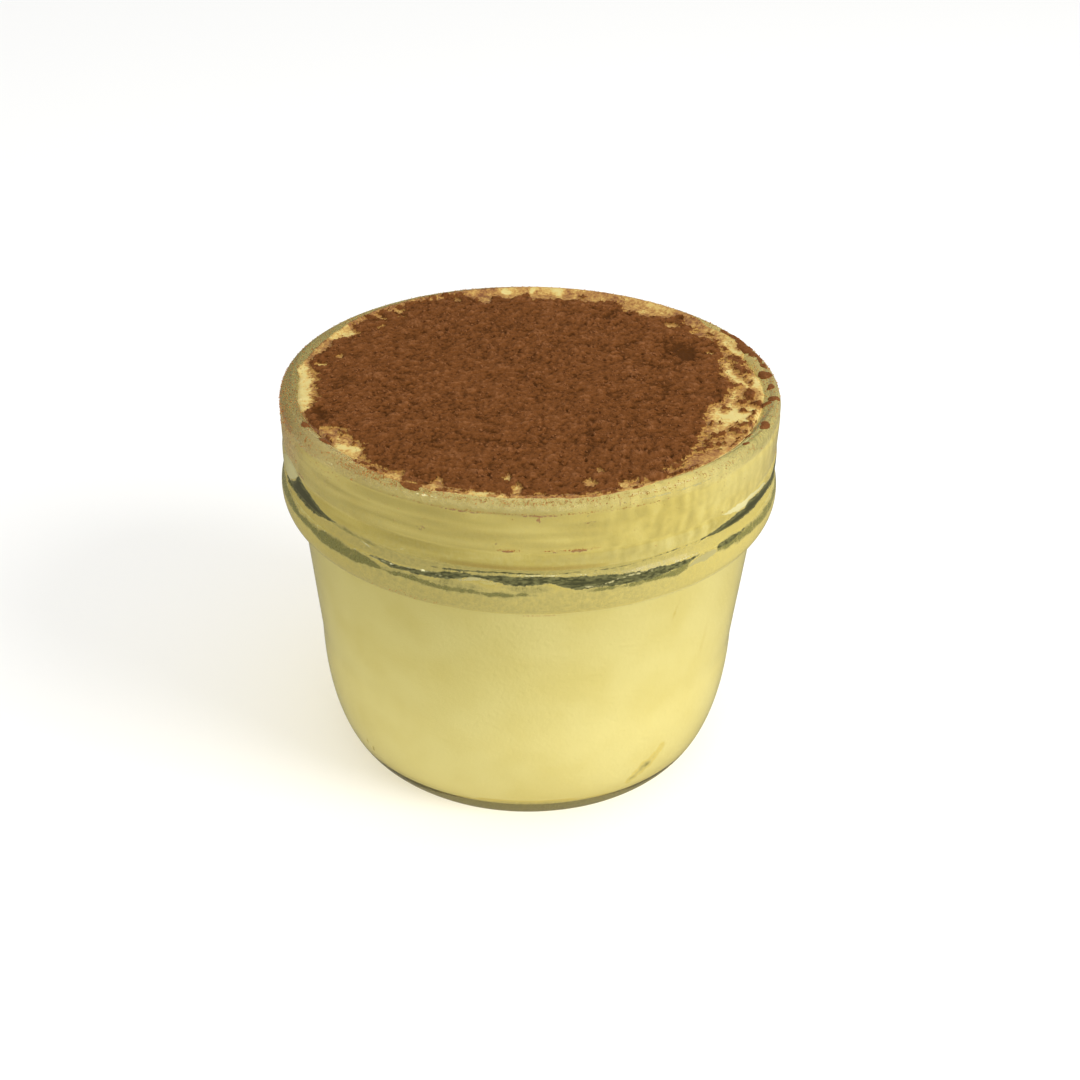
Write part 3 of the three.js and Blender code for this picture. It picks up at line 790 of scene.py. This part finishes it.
BEAD_GLINT = (
    (-120.6, 60.4, 60.3, 1), (-120, 60.26, 60.42, 1), (-119.3, 60.36, 60.48, 1), (-118.7, 60.5, 60.4, 1),
    (-113.6, 60.7, 60.6, 1), (-113, 60.66, 60.8, 1), (-112.1, 60.66, 60.78, 1), (-111.5, 60.8, 60.7, 1),
    (-105.4, 60.4, 60.3, 0), (-104, 60.2, 60.5, 0), (-101.7, 60.5, 60.9, 0.1), (-100, 60.8, 60.95, 0.1),
    (-98.4, 60.6, 60.85, 0.1), (-97, 60.4, 60.55, 0), (-94.8, 60.4, 60.2, 0), (-79, 59.8, 59.7, 0.1),
    (-78, 59.72, 59.82, 0.2), (-74.9, 59.7, 59.8, 0.2), (-72.3, 60, 60.08, 0.2),
    (-70.5, 60.35, 60.44, 0.2), (-68.2, 60.55, 60.62, 0.2), (-63.5, 60.45, 60.52, 0.1),
    (-62, 60.5, 60.4, 0.1), (-54.6, 59.2, 59.1, 0), (-52, 59.2, 60, 0), (-49, 59.1, 60.2, 0),
    (-46, 59.4, 60.2, 0), (-45.2, 59.8, 59.7, 0), (0, 60.5, 60.4, 0),
)
# Smudges on the glass, and painted olive shade beside the dark bands, on the collar and low on the body:
# direction, height, half-widths, lean in degrees for a millimetre of height, and strength.
SMUDGES_AND_SHADE = (
    (-51.2, 12.6, 1.8, 2.4, 1.33, 0.24), (-54.8, 10.2, 2.6, 2, 1.33, 0.7),
    (-57.8, 8.2, 1.6, 1.4, 1.4, 0.5), (-139.4, 8.4, 0.35, 1.7, -2.1, 0.6),
    (-52.4, 47.2, 0.9, 2.8, 0.3, 0.06), (-39, 36.5, 1.3, 5, 0.1, 0.03), (-131.5, 63, 10, 1.3, -3.2, 0.7),
    (-121, 62.4, 9, 0.8, -6, 0.3), (-117, 59.2, 7, 1.3, 0, 0.55), (-105, 59.5, 10, 1.1, 0, 0.5),
    (-90, 59.6, 8, 1.2, 0, 0.5), (-76, 59.2, 7, 0.6, 0, 0.45), (-62, 59.3, 9, 0.8, 0, 0.8),
    (-49, 59.9, 3.8, 0.8, 0, 0.5), (-168, 63.4, 5, 2.4, -1.2, 0.3), (-135, 68.4, 22, 1.6, 0, 0.24),
    (-103, 68.2, 20, 1.6, 0, 0.16), (-75, 68.6, 9, 1.6, 0, 0.14), (-52, 63.6, 10, 0.3, -4, 0.3),
    (95, 68, 30, 1.6, 0, 0.2),
)
# The upper edge of the painted olive shade on the heel's empty glass: direction and height.
HEEL_GLASS = (
    (-150, 2.8), (-131, 2.6), (-123, 3.1), (-115, 4), (-102.5, 5.4), (-91, 5.8), (-80, 5.6), (-67.5, 4.8),
    (-57, 3.9), (-49, 3.5), (-20, 3.4), (60, 4.4), (110, 4.8), (160, 3.6),
)
# Cocoa specks on the glass: direction, height, half-widths and how thick they lie.
SPECKS = (
    (-161, 74.8, 14, 2.4, 0.62), (-167, 71.8, 13, 5, 0.52), (-156, 70.4, 8, 4, 0.5),
    (-150.5, 67.6, 4, 1.1, 0.62), (-145, 74.6, 8, 2.2, 0.5), (-129, 75.8, 9, 0.8, 0.46),
    (-119, 75.8, 5, 0.9, 0.46), (-140, 71, 14, 5, 0.4), (-145, 60, 16, 0.5, 0.36),
    (-137, 57.5, 4, 1.6, 0.38), (-114, 55.4, 3.4, 0.7, 0.46), (-83, 54.8, 4.6, 0.2, 0.56),
    (-94, 66.8, 2.4, 0.4, 0.68), (-84.6, 66.7, 1.4, 0.35, 0.62), (-79.5, 66.8, 3.6, 0.5, 0.7),
    (-104, 73.8, 10, 0.35, 0.6), (-88, 73.8, 8, 0.35, 0.6), (-88, 73.2, 0.9, 1.2, 0.66),
    (-71, 75, 0.6, 1.7, 0.66), (-68.8, 74.6, 0.5, 1.6, 0.6), (-77.5, 72.6, 4, 2.2, 0.46),
    (-112, 69.2, 4, 1.8, 0.48), (-97, 68.5, 6, 2, 0.42), (-103, 74.8, 14, 0.8, 0.36),
    (-45, 74.4, 3.4, 1.4, 0.46), (-44, 72.8, 3.4, 1.2, 0.44), (-45, 67.6, 5, 1.4, 0.42),
    (-36, 58, 2, 0.7, 0.46), (-124, 57, 4, 1.2, 0.42), (-60, 76, 4, 0.3, 0.4), (15, 71, 12, 4, 0.36),
    (90, 70, 40, 5, 0.32), (120, 74, 20, 1.5, 0.42), (170, 73, 10, 4, 0.46),
)
# How greasy the glass above the ledge is at the left, and how far the bead's line rises, by direction.
DUSTY_SIDE = ((-172, 0.75), (-158, 1), (-152, 0.6), (-147, 0), (150, 0), (172, 0.3))
BEAD_LINE_RISE = ((-90, 0), (-67, 0.4), (-45, 0.8), (60, 0.8), (150, 0))
# How grimy the rim and the collar are, by direction: the haze, how brown it is, and the painted olive
# shade on the rim.
RIM_HAZE = (
    (-180, 0.85, 0.5, 0.55), (-160, 0.9, 0.8, 0.5), (-150, 0.85, 0.6, 0.35), (-138, 0.7, 0.45, 0.22),
    (-120, 0.5, 0.3, 0.06), (-90, 0.5, 0.1, 0), (-75, 0.4, 0.08, 0), (-60, 0.3, 0.06, 0.02),
    (-45, 0.5, 0.1, 0.32), (-30, 0.65, 0.2, 0.48), (-15, 0.75, 0.35, 0.44), (8, 0.8, 0.4, 0.28),
    (30, 0.7, 0.45, 0.24), (90, 0.6, 0.45, 0.35), (150, 0.8, 0.5, 0.5),
)


def inside_band(band, direction, z, number):
    """How far a point lies inside a band, in millimetres, and less than 0 outside; its lower and
    upper edges waver along the band."""
    low, high = (
        round_table(band, direction, k)
        + wall_grain(direction, 0 * direction, (0.07, 2.2, number + k), (0.04, 0.8, number + k))
        for k in (1, 2)
    )
    return np.minimum(z - low, high - z)


def glass_fields(direction, r, z):
    """The numbers that colour the outside of the glass, on a grid of directions, radii and heights:
    how far a point lies inside the bands of painted dark shade and the painted glints, and how
    strong the painted shade with the smudges, the specks and the haze are there, each the
    strongest of what lies on the point."""
    # Painted dark shade in the groove and on the bead, then painted glints with their brightness.
    dark = strongest(
        inside_band(GROOVE_PAINTED_DARK, direction, z, 40),
        inside_band(BEAD_PAINTED_DARK, direction, z, 44),
    )
    glint, bright = -1 + 0 * dark, 0 * dark
    for band in (COLLAR_GLINT, BEAD_GLINT, RIM_GLINT):
        inside = inside_band(band, direction, z, 48)
        bright = np.where(inside > glint, round_table(band, direction, 3), bright)
        glint = np.maximum(glint, inside)

    # Zones of the wall by height, and lines on it.
    on_rim = smoothstep(SEAM_HEIGHT - 0.4, SEAM_HEIGHT + 1.6, z)
    above_ledge = smoothstep(LEDGE_HEIGHT - LINE_DEPTH, LEDGE_HEIGHT - 0.2, z) * (1 - on_rim)
    below_ledge = smoothstep(BEAD_HIGH + 0.3, BEAD_HIGH + 1.8, z) * (1 - above_ledge - on_rim)
    at_groove = smoothstep(BEAD_HIGH - 1.7, BEAD_HIGH - 1.3, z)
    at_groove = at_groove * smoothstep(BEAD_HIGH + 1.4, BEAD_HIGH + 0.7, z)
    dusty = smoothstep(LEDGE_HEIGHT - 0.2, LEDGE_HEIGHT + 2.3, z)
    dusty = round_table(DUSTY_SIDE, direction, 1) * dusty
    bead_edge = BEAD_LINE_HEIGHT + round_table(BEAD_LINE_RISE, direction, 1)
    on_bead = smoothstep(-0.1, 0.2, z - bead_edge) * smoothstep(BEAD_HIGH - 1.8, BEAD_HIGH - 3.2, z)
    tan_line = smoothstep(0.7, 0.2, np.abs(z - COLLAR_LOW - 0.4))
    tan_line = tan_line * smoothstep(24, 10, np.abs(direction + 91))
    haze_level, grime, olive = (round_table(RIM_HAZE, direction, k) for k in (1, 2, 3))
    # The haze is grease on the rim and the collar; on the bead it is painted shade.
    haze = haze_level * (on_rim + 0.36 * above_ledge + 0.12 * below_ledge) + 0.24 * on_bead
    haze = strongest(haze, 0.14 * tan_line, 0.85 * dusty)
    grime = grime * (0.4 + 0.6 * strongest(on_rim, dusty)) * (1 - 0.7 * on_bead)
    grime = strongest(grime, 0.6 * tan_line)

    # Painted shade: olive round the dark bands of the bead, on the heel's glass, in the fine line at the
    # bead's lower edge, on the bead and in the groove, most in front, and on the rim; the smudges are
    # added to it.
    in_front = smoothstep(60, 25, np.abs(direction + 95))
    wander = wall_grain(direction, z, (0.28, 1.0, 57), stretch=2)
    on_heel = smoothstep(0.5, -0.3, z - round_table(HEEL_GLASS, direction, 1))
    shade = strongest(
        0.85 * smoothstep(-0.35, 0.45, wander + inside_band(BEAD_SHADE, direction, z, 56)),
        0.42 * on_heel * smoothstep(FOOT_INNER_RADIUS, FOOT_RADIUS, r),
        0.3 * smoothstep(0.3, 0.05, np.abs(z - bead_edge)),
        (0.1 + 0.24 * in_front) * on_bead,
        (0.16 + 0.24 * in_front) * at_groove,
        olive * on_rim,
    )
    wander = wall_grain(direction, z, (0.3, 1.4, 60), stretch=2)
    for *oval, lean, strength in SMUDGES_AND_SHADE:
        far = oval_distance(direction - lean * (z - oval[1]), z, oval) + wander
        shade = strongest(shade, strength * smoothstep(1.2, 0.2, far))
    specks = 0 * dark
    for *oval, thickness in SPECKS:
        far = oval_distance(direction, z, oval)
        specks = strongest(specks, thickness * smoothstep(1.3, 0.2, far))
    return {
        "dark": dark, "glint": glint, "bright": bright, "shade": shade, "specks": specks,
        "haze": haze, "grime": grime,
    }


# How far apart the rings of a turned surface lie, by height, and how many degrees an outline turns
# by from ring to ring.
GLASS_SPACING = (
    (0, 3), (2, 1), (8, 1), (10, 2), (51, 2), (53, 0.6), (57, 0.6), (58, 0.35), (64.5, 0.35), (67, 0.5),
    (68, 0.8), (72.5, 0.8), (73.5, 0.45), (80, 0.45),
)
INSIDE_SPACING = ((0, 5), (80, 5))
CREAM_SPACING = ((0, 3), (52, 2.5), (58, 0.6), (80, 0.6))
GLASS_TURN = 9
INSIDE_TURN = 15
CREAM_TURN = 10


def make_jar():
    """The glass jar: its outline turned round the axis, with a faint waviness of the glass."""
    outside = softened(outside_outline(), GLASS_SPACING, GLASS_TURN)
    inside = softened(inside_outline(0), INSIDE_SPACING, INSIDE_TURN)
    outline = np.concatenate([outside, inside[1:]])
    r, z = outline[1:-1].T
    directions = np.arange(GLASS_SIDES) * 360 / GLASS_SIDES
    rings = turned_rings(r, z, directions)
    numbers = glass_fields((directions[None] + 180) % 360 - 180, r[:, None], rings[..., 2])
    shown = (np.arange(len(r)) < len(outside) - 1) | (z > JAR_HEIGHT - RIM_INNER_DROP)
    fields = {}
    for key, values in numbers.items():
        none = -1 if key in ("dark", "glint") else 0
        fields[key] = np.concatenate([np.where(shown[:, None], values, none).ravel(), [0, 0]])
    wavy = wall_grain(directions[None], z[:, None], (0.04, 14, 7))
    rings[..., :2] *= 1 + (wavy / r[:, None])[..., None]
    points = np.concatenate([rings.reshape(-1, 3), [[0, 0, outline[0, 1]], [0, 0, outline[-1, 1]]]])
    bottom, top = len(points) - 2, len(points) - 1
    first = np.arange(GLASS_SIDES)
    faces = (
        ring_faces(len(r), GLASS_SIDES),
        fan_faces(bottom, first, False),
        fan_faces(top, bottom - GLASS_SIDES + first, True),
    )
    jar = mesh_piece("glass_jar", points, faces, glass_finish(), **fields)
    jar.visible_shadow = False
    jar.visible_diffuse = False
    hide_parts("jar")


def wall_fields(direction, z):
    """The numbers that colour the cream against the glass, on a grid of directions and heights. Tone
    and pale deepen and lighten it behind the collar in streaks, and to the right in rounder patches.
    There is no dust there."""
    streaks = wall_grain(direction, z, (1, 1.1, 9), stretch=14)
    streaks = streaks + wall_grain(direction, z, (0.5, 2.4, 10), stretch=4)
    patches = wall_grain(direction, z, (1, 5, 11), stretch=0.35)
    patches = patches + wall_grain(direction, z, (0.6, 1.3, 12))
    to_the_right = smoothstep(50, 25, np.abs(direction + 35))
    mottle = patches * to_the_right + streaks * (1 - to_the_right)
    behind_collar = smoothstep(COLLAR_LOW - 2.6, COLLAR_LOW + 0.4, z)
    behind_collar = behind_collar * smoothstep(JAR_HEIGHT, JAR_HEIGHT - 3, z)
    behind_bead = smoothstep(BEAD_LOW - 1.8, BEAD_LOW + 0.7, z)
    behind_bead = behind_bead * smoothstep(BEAD_HIGH + 0.7, BEAD_HIGH - 0.5, z)
    # Painted shade: the cream is a little deeper up towards the shoulder and behind the bead.
    tone = 0.08 + 0.1 * smoothstep(30, SHOULDER_HEIGHT - 0.1, z)
    tone = tone + behind_collar * (0.08 + 0.4 * mottle) + 0.04 * behind_bead
    mid_collar = smoothstep(LEDGE_HEIGHT - 0.2, LEDGE_HEIGHT + 2.3, z)
    mid_collar = mid_collar * smoothstep(SEAM_HEIGHT + 1.2, SEAM_HEIGHT - 0.8, z)
    pale = behind_collar * smoothstep(0.1, 0.9, -mottle) * 0.42
    pale += 0.45 * smoothstep(17, 5, np.abs(direction + 36)) * mid_collar
    return {"tone": np.clip(tone, 0, 1), "pale": pale, "dust": 0 * tone - 1}


def make_cream():
    """The cream: an even grid over the mouth, and rings that follow the jar's inside down to a
    point at the middle of the floor."""
    x, y, grid, edge = disc_grid(CREAM_GRID)
    direction = np.degrees(np.arctan2(y, x))
    x, y = x * cream_reach(direction), y * cream_reach(direction)
    top = np.stack([x, y, cream_top(x, y)], 1)
    top[edge, 2] = rim_height(np.hypot(x, y)[edge])
    dust = dusting_level(x, y)
    # Painted highlight: the top is paler on the crests of its finer waves.
    crests = 0.18 * smoothstep(0.2, 0.9, flat_grain(x, y, (1, 2.6, 6)))
    film = 0.55 * smoothstep(43.9, 45.4, np.hypot(x, y)) * smoothstep(0, 0.3, dust)
    on_top = {"tone": 0.7 + 0.4 * film, "pale": crests * (1 - film), "dust": dust}
    side = softened(inside_outline(-INTO_GLASS), CREAM_SPACING, CREAM_TURN)
    side = side[side[:, 1] < JAR_HEIGHT - RIM_INNER_DROP][:-1]
    around = direction[edge]
    rings = np.concatenate([along_rim(x[edge], y[edge], -INTO_RIM), turned_rings(*side.T, around)])
    fields = {
        key: np.concatenate([on_top[key], values.ravel(), values[-1:, 0]])
        for key, values in wall_fields(around[None], rings[:, :1, 2]).items()
    }
    points, faces = closed_below(top, grid, edge, rings, FLOOR_MIDDLE_HEIGHT - INTO_GLASS)
    cream = mesh_piece("mascarpone_cream", points, faces, cream_finish(), **fields)
    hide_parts("cream")


def cocoa_relief(x, y):
    """The cocoa's relief, about 0 to 1: lumps in two sizes on gentle waves and fine noise, less a few
    round pits and the hollows."""
    hills = flat_grain(x, y, (0.15, 3.0, 13), (0.1, 7, 16), (0.26, 0.66, 26))
    hills += 0.36 * lumps(x, y, 1.8, 14) + 0.4 * lumps(x, y, 0.95, 15)
    pits = smoothstep(0.5, 0.75, flat_grain(x, y, (1, 1.5, 17)))
    relief = 0.08 + hills - 0.42 * pits
    direction, r = polar(x, y)
    wander = flat_grain(x, y, (0.5, 1.8, 18), (0.3, 0.8, 27))
    for *oval, depth in HOLLOWS:
        relief -= depth * smoothstep(1.4, 0.3, oval_distance(direction, r, oval) + wander)
    return np.maximum(relief, -0.3)


def cocoa_cover(amount):
    """How fully the cocoa covers the cream, 0 to 1, from the amount of it."""
    return smoothstep(-0.9, 0.8, amount)


def cocoa_height(x, y, amount):
    """How far the cocoa's surface stands above the cream: its relief, lower on the rim, where it
    covers the cream, and a dip under the cream where it doesn't."""
    cover = cocoa_cover(amount)
    at_rim = smoothstep(42.5, 44.2, np.hypot(x, y))
    height = COCOA_DEPTH * (0.35 + cocoa_relief(x, y)) * (1 - 0.45 * at_rim)
    return cover * height - COCOA_SUNK * (1 - cover)


def make_cocoa(material):
    """The cocoa: an even grid over the mouth that stands above the cream where cocoa lies, and
    dips just under it where it is bare, closed by a flat underside sunk in the cream."""
    x, y, grid, edge = disc_grid(COCOA_GRID)
    reach = cream_reach(np.degrees(np.arctan2(y, x))) - COCOA_INSET
    x, y = x * reach, y * reach
    amount = cocoa_amount(x, y)
    cover = cocoa_cover(amount)
    top = np.stack([x, y, cream_top(x, y) + cocoa_height(x, y, amount)], 1)
    top[:, 2] = np.minimum(top[:, 2], COCOA_TOP)
    top[edge, 2] = rim_height(np.hypot(x, y)[edge])
    rings = along_rim(x[edge], y[edge], 0.0)
    inwards = UNDERSIDE_RADIUS / MOUTH_RADIUS
    rings = np.concatenate([rings, [rings[-1] * (inwards, inwards, 1)]])
    rings[-2:, :, 2] = COCOA_UNDERSIDE
    points, faces = closed_below(top, grid, edge, rings, COCOA_UNDERSIDE)
    relief, thin = np.full(len(points), 0.4), np.zeros(len(points))
    relief[:len(top)] = cocoa_relief(x, y) * cover + 0.35 * (1 - cover)
    thin[:len(top)] = 1 - smoothstep(0.35, 0.95, cover)
    cocoa = mesh_piece("cocoa_layer", points, faces, material, relief=relief, thin=thin)
    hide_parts("cocoa")


# Lumps of cocoa on the glass: direction, distance along the outline, and half-widths.
RIM_LUMPS = (
    (4.8, 1.2, 1.7, 1.3), (-2.2, 0.8, 1.1, 0.8), (20.5, 1, 2.2, 1.2), (26.5, 0.2, 2.4, 0.6),
    (13, 0.3, 1.3, 0.5), (-8.6, 0.4, 0.9, 1.2), (-11, 2.1, 1.1, 1.1), (-23, 0.2, 1.4, 1.1),
    (-29, 1.8, 0.8, 0.5), (-33.6, 0.5, 0.7, 0.5), (-153, 1.2, 1.4, 0.8), (-143.7, 1.8, 1.6, 0.8),
    (-115, -0.5, 2.3, 0.6), (-109, 0.1, 1.1, 0.5), (-105.4, 0.3, 0.9, 0.4), (23.4, 0.5, 1.9, 0.6),
    (16.6, 0.6, 1.6, 0.7), (9.6, 0.4, 1.3, 0.5), (31, 0.5, 1.5, 0.5),
)
# Dust on the glass: direction and its spread, distance along the outline and its spread, and how
# many grains.
RIM_DUST = (
    (-90, 26, -0.9, 0.35, 1100), (-124, 7, -0.2, 0.7, 700), (-170, 9, -1, 2.2, 700),
    (175, 16, 0.6, 1.1, 400), (5, 26, 0.6, 1.1, 900), (90, 40, 0.2, 0.9, 900), (-95, 16, -3.2, 0.15, 300),
    (-70, 5, -2.7, 0.5, 60), (-93.5, 1.2, -10.4, 0.12, 50), (-86, 0.8, -10.4, 0.1, 30),
    (-80, 2.4, -10.4, 0.12, 110), (-118, 4, -23.7, 0.5, 40), (-87, 3, -25.5, 0.3, 40),
    (-90, 70, -5.3, 3.5, 120), (90, 70, -5.3, 3.5, 120), (-150, 14, -2.4, 1.5, 160),
)


def make_rim_lumps(material):
    """Lumps of cocoa on the rim: domes whose rings shrink upwards, with noisy outlines."""
    rng = np.random.default_rng(SEED + 30)
    rings, sides = 5, 16
    climb = np.linspace(-0.35, math.pi / 2, rings + 1)[:-1]
    lift, shrink = np.sin(climb)[:, None, None], np.cos(climb)
    a = np.arange(sides) * 2 * np.pi / sides
    quads = ring_faces(rings, sides)
    tip_number = rings * sides
    faces = np.concatenate([
        quads[:, [0, 1, 2]],
        quads[:, [0, 2, 3]],
        fan_faces(tip_number, (rings - 1) * sides + np.arange(sides), True),
        fan_faces(tip_number + 1, np.arange(sides), False),
    ])
    all_points = []
    for direction, along, half_round, half_up in RIM_LUMPS:
        wobble = 1 + 0.2 * np.cos(2 * a + rng.uniform(0, 6))
        wobble = wobble + 0.16 * np.cos(3 * a + rng.uniform(0, 6))
        wobble = wobble + rng.uniform(-0.08, 0.08, sides)
        u = np.outer(shrink, half_round * np.cos(a) * wobble)
        v = np.outer(shrink, half_up * np.sin(a) * wobble)
        on_glass, facing = rim_point(direction + np.degrees(u / RIM_CREST_RADIUS), along + v)
        high = 0.24 * half_up
        rise = high * lift * (1 + 0.15 * rng.uniform(-1, 1, u.shape)[..., None])
        tip, tip_facing = rim_point(np.array(direction), np.array(along))
        dome = (on_glass + facing * rise).reshape(-1, 3)
        all_points += [dome, [tip + tip_facing * high, tip - tip_facing * 0.12]]
    points = np.concatenate(all_points)
    shift = np.arange(len(RIM_LUMPS))[:, None, None] * (tip_number + 2)
    all_faces = (faces[None] + shift).reshape(-1, 3)
    relief = np.full(len(points), 0.5)
    lumps = mesh_piece("cocoa_lumps", points, [all_faces], material, relief=relief)


# An uneven grain with eight sides, about 1 from its middle to its points.
GRAIN = (
    np.array([[1, 0, 0], [0, 0.8, 0], [-1, 0, 0], [0, -0.8, 0], [0, 0, 0.65], [0, 0, -0.65]], float),
    np.array([[0, 1, 4], [1, 2, 4], [2, 3, 4], [3, 0, 4], [1, 0, 5], [2, 1, 5], [3, 2, 5], [0, 3, 5]]),
)


def make_dust(material):
    """Grains of cocoa on the glass, thrown round each row of the table with a normal spread."""
    rng = np.random.default_rng(SEED + 31)
    places, facings = [], []
    for direction, spread, along, along_spread, count in RIM_DUST:
        directions = direction + spread * rng.normal(size=count).clip(-2.2, 2.2)
        alongs = along + along_spread * rng.normal(size=count).clip(-2.2, 2.2)
        place, facing = rim_point(directions, alongs)
        places.append(place)
        facings.append(facing)
    places, facings = np.concatenate(places), np.concatenate(facings)
    sizes = 0.05 + 0.1 * rng.random(len(places)) ** 2.5
    points, faces = scattered(*GRAIN, places + facings * sizes[:, None] * 0.5, sizes, rng)
    dust = mesh_piece("cocoa_dust", points, [faces], material)


def make_crumbs(material):
    """Crumbs of cocoa: fine ones thrown over the bare cream round the cocoa's edge, denser nearer
    to it, and coarser ones half sunk in the cocoa."""
    rng = np.random.default_rng(SEED + 32)
    a = rng.uniform(0, 2 * np.pi, CRUMB_THROWS)
    r = (cream_reach(np.degrees(a)) - 0.3) * np.sqrt(rng.random(len(a)))
    x, y = r * np.cos(a), r * np.sin(a)
    amount = cocoa_amount(x, y)
    chance = np.where(amount > 0.6, 0.12, 0.6 * smoothstep(-4, 0, amount))
    chance *= smoothstep(0, 0.2, cocoa_relief(x, y))
    keep = rng.random(len(a)) < chance
    x, y, amount = x[keep], y[keep], amount[keep]
    on_cocoa = smoothstep(0.2, 1.0, amount)
    sizes = (0.06 + 0.12 * rng.random(len(x)) ** 2) * (1 + 1.4 * on_cocoa)
    lift = np.maximum(cocoa_height(x, y, amount), 0)
    z = np.minimum(cream_top(x, y) + lift + 0.2 * sizes, COCOA_TOP - 0.8 * sizes)
    points, faces = scattered(*GRAIN, np.stack([x, y, z], 1), sizes, rng)
    relief = np.repeat(0.45 + 0.6 * rng.random(len(x)), len(GRAIN[0]))
    crumbs = mesh_piece("cocoa_crumbs", points, [faces], material, relief=relief)


# --- stage -------------------------------------------------------------------------------------

# The camera looks down at the jar from the front.
CAMERA_DISTANCE = 320
CAMERA_DOWN = 30.91
CAMERA_AIM_HEIGHT = 41.0
CAMERA_ROLL = 0.94
FRAME_PIXELS = 1080
FOCAL_PIXELS = 1590
AXIS_OFFSET_PIXELS = 12

# The floor and the lights, in metres and watts.
FLOOR_HALF = 2.5
FLOOR_COLOUR = (0.92, 0.92, 0.91, 1)
KEY_PLACE = (0.58, -0.28, 0.5)
KEY_AIM = (0, 0, 0.04)
KEY_SIZE = 0.4
KEY_WATTS = 3.5
SKY_STRENGTH = 1.02
ROOM_COLOUR = (1, 0.92, 0.66, 1)
ROOM_STRENGTH = 0.28


def make_camera():
    """The camera stands on a circle round the aim point: back D cos e and up D sin e."""
    data = bpy.data.cameras.new("camera")
    data.sensor_width = 36
    data.lens = data.sensor_width * FOCAL_PIXELS / FRAME_PIXELS
    data.shift_x = AXIS_OFFSET_PIXELS / FRAME_PIXELS
    data.clip_start, data.clip_end = 0.01, 20
    down, roll = math.radians(CAMERA_DOWN), math.radians(CAMERA_ROLL)
    camera = bpy.data.objects.new("camera", data)
    bpy.context.scene.collection.objects.link(camera)
    camera.location = (
        0,
        -CAMERA_DISTANCE * MM * math.cos(down),
        (CAMERA_AIM_HEIGHT + CAMERA_DISTANCE * math.sin(down)) * MM,
    )
    looking = Matrix.Rotation(math.pi / 2 - down, 4, "X")
    camera.rotation_euler = (looking @ Matrix.Rotation(roll, 4, "Z")).to_euler()
    bpy.context.scene.camera = camera


def make_light(name, place, aim, size, watts):
    """A round soft light that the glass doesn't mirror."""
    data = bpy.data.lights.new(name, "AREA")
    data.shape = "DISK"
    data.size = size
    data.energy = watts
    light = bpy.data.objects.new(name, data)
    light.location = place
    light.rotation_euler = (Vector(aim) - Vector(place)).to_track_quat("-Z", "Y").to_euler()
    light.visible_glossy = False
    bpy.context.scene.collection.objects.link(light)


def make_world():
    """An even white sky that the glass mirrors as a dimmer warm room."""
    world = bpy.data.worlds.new("studio")
    world.use_nodes = True
    nodes, links = world.node_tree.nodes, world.node_tree.links
    sky, room = nodes["Background"], nodes.new("ShaderNodeBackground")
    sky.inputs["Color"].default_value = (1, 1, 1, 1)
    sky.inputs["Strength"].default_value = SKY_STRENGTH
    room.inputs["Color"].default_value = ROOM_COLOUR
    room.inputs["Strength"].default_value = ROOM_STRENGTH
    path, either = nodes.new("ShaderNodeLightPath"), nodes.new("ShaderNodeMixShader")
    links.new(path.outputs["Is Glossy Ray"], either.inputs["Fac"])
    links.new(sky.outputs["Background"], either.inputs[1])
    links.new(room.outputs["Background"], either.inputs[2])
    links.new(either.outputs["Shader"], nodes["World Output"].inputs["Surface"])
    bpy.context.scene.world = world


def make_stage():
    """A plain pale floor, the sky and one soft light from the right."""
    floor_mesh = bpy.data.meshes.new("floor")
    corners = [(a * FLOOR_HALF, b * FLOOR_HALF, 0) for a, b in ((-1, -1), (1, -1), (1, 1), (-1, 1))]
    floor_mesh.from_pydata(corners, [], [(0, 1, 2, 3)])
    floor = Finish("pale_floor")
    floor.set(Base_Color=FLOOR_COLOUR, Roughness=0.9)
    floor_mesh.materials.append(floor.material)
    obj = bpy.data.objects.new("floor", floor_mesh)
    bpy.context.scene.collection.objects.link(obj)
    obj.visible_glossy = False
    make_world()
    make_light("key", KEY_PLACE, KEY_AIM, KEY_SIZE, KEY_WATTS)


def set_look():
    """Plain colours, and enough bounces of light for the glass."""
    scene = bpy.context.scene
    scene.view_settings.view_transform = "Standard"
    scene.cycles.use_denoising = True
    scene.cycles.max_bounces = 16
    scene.cycles.transmission_bounces = 12
    scene.cycles.caustics_refractive = False
    scene.cycles.caustics_reflective = False


make_camera()
make_stage()
set_look()
make_jar()
make_cream()
cocoa_powder = cocoa_finish()
make_cocoa(cocoa_powder)
make_rim_lumps(cocoa_powder)
make_crumbs(cocoa_powder)
make_dust(dusting_finish())
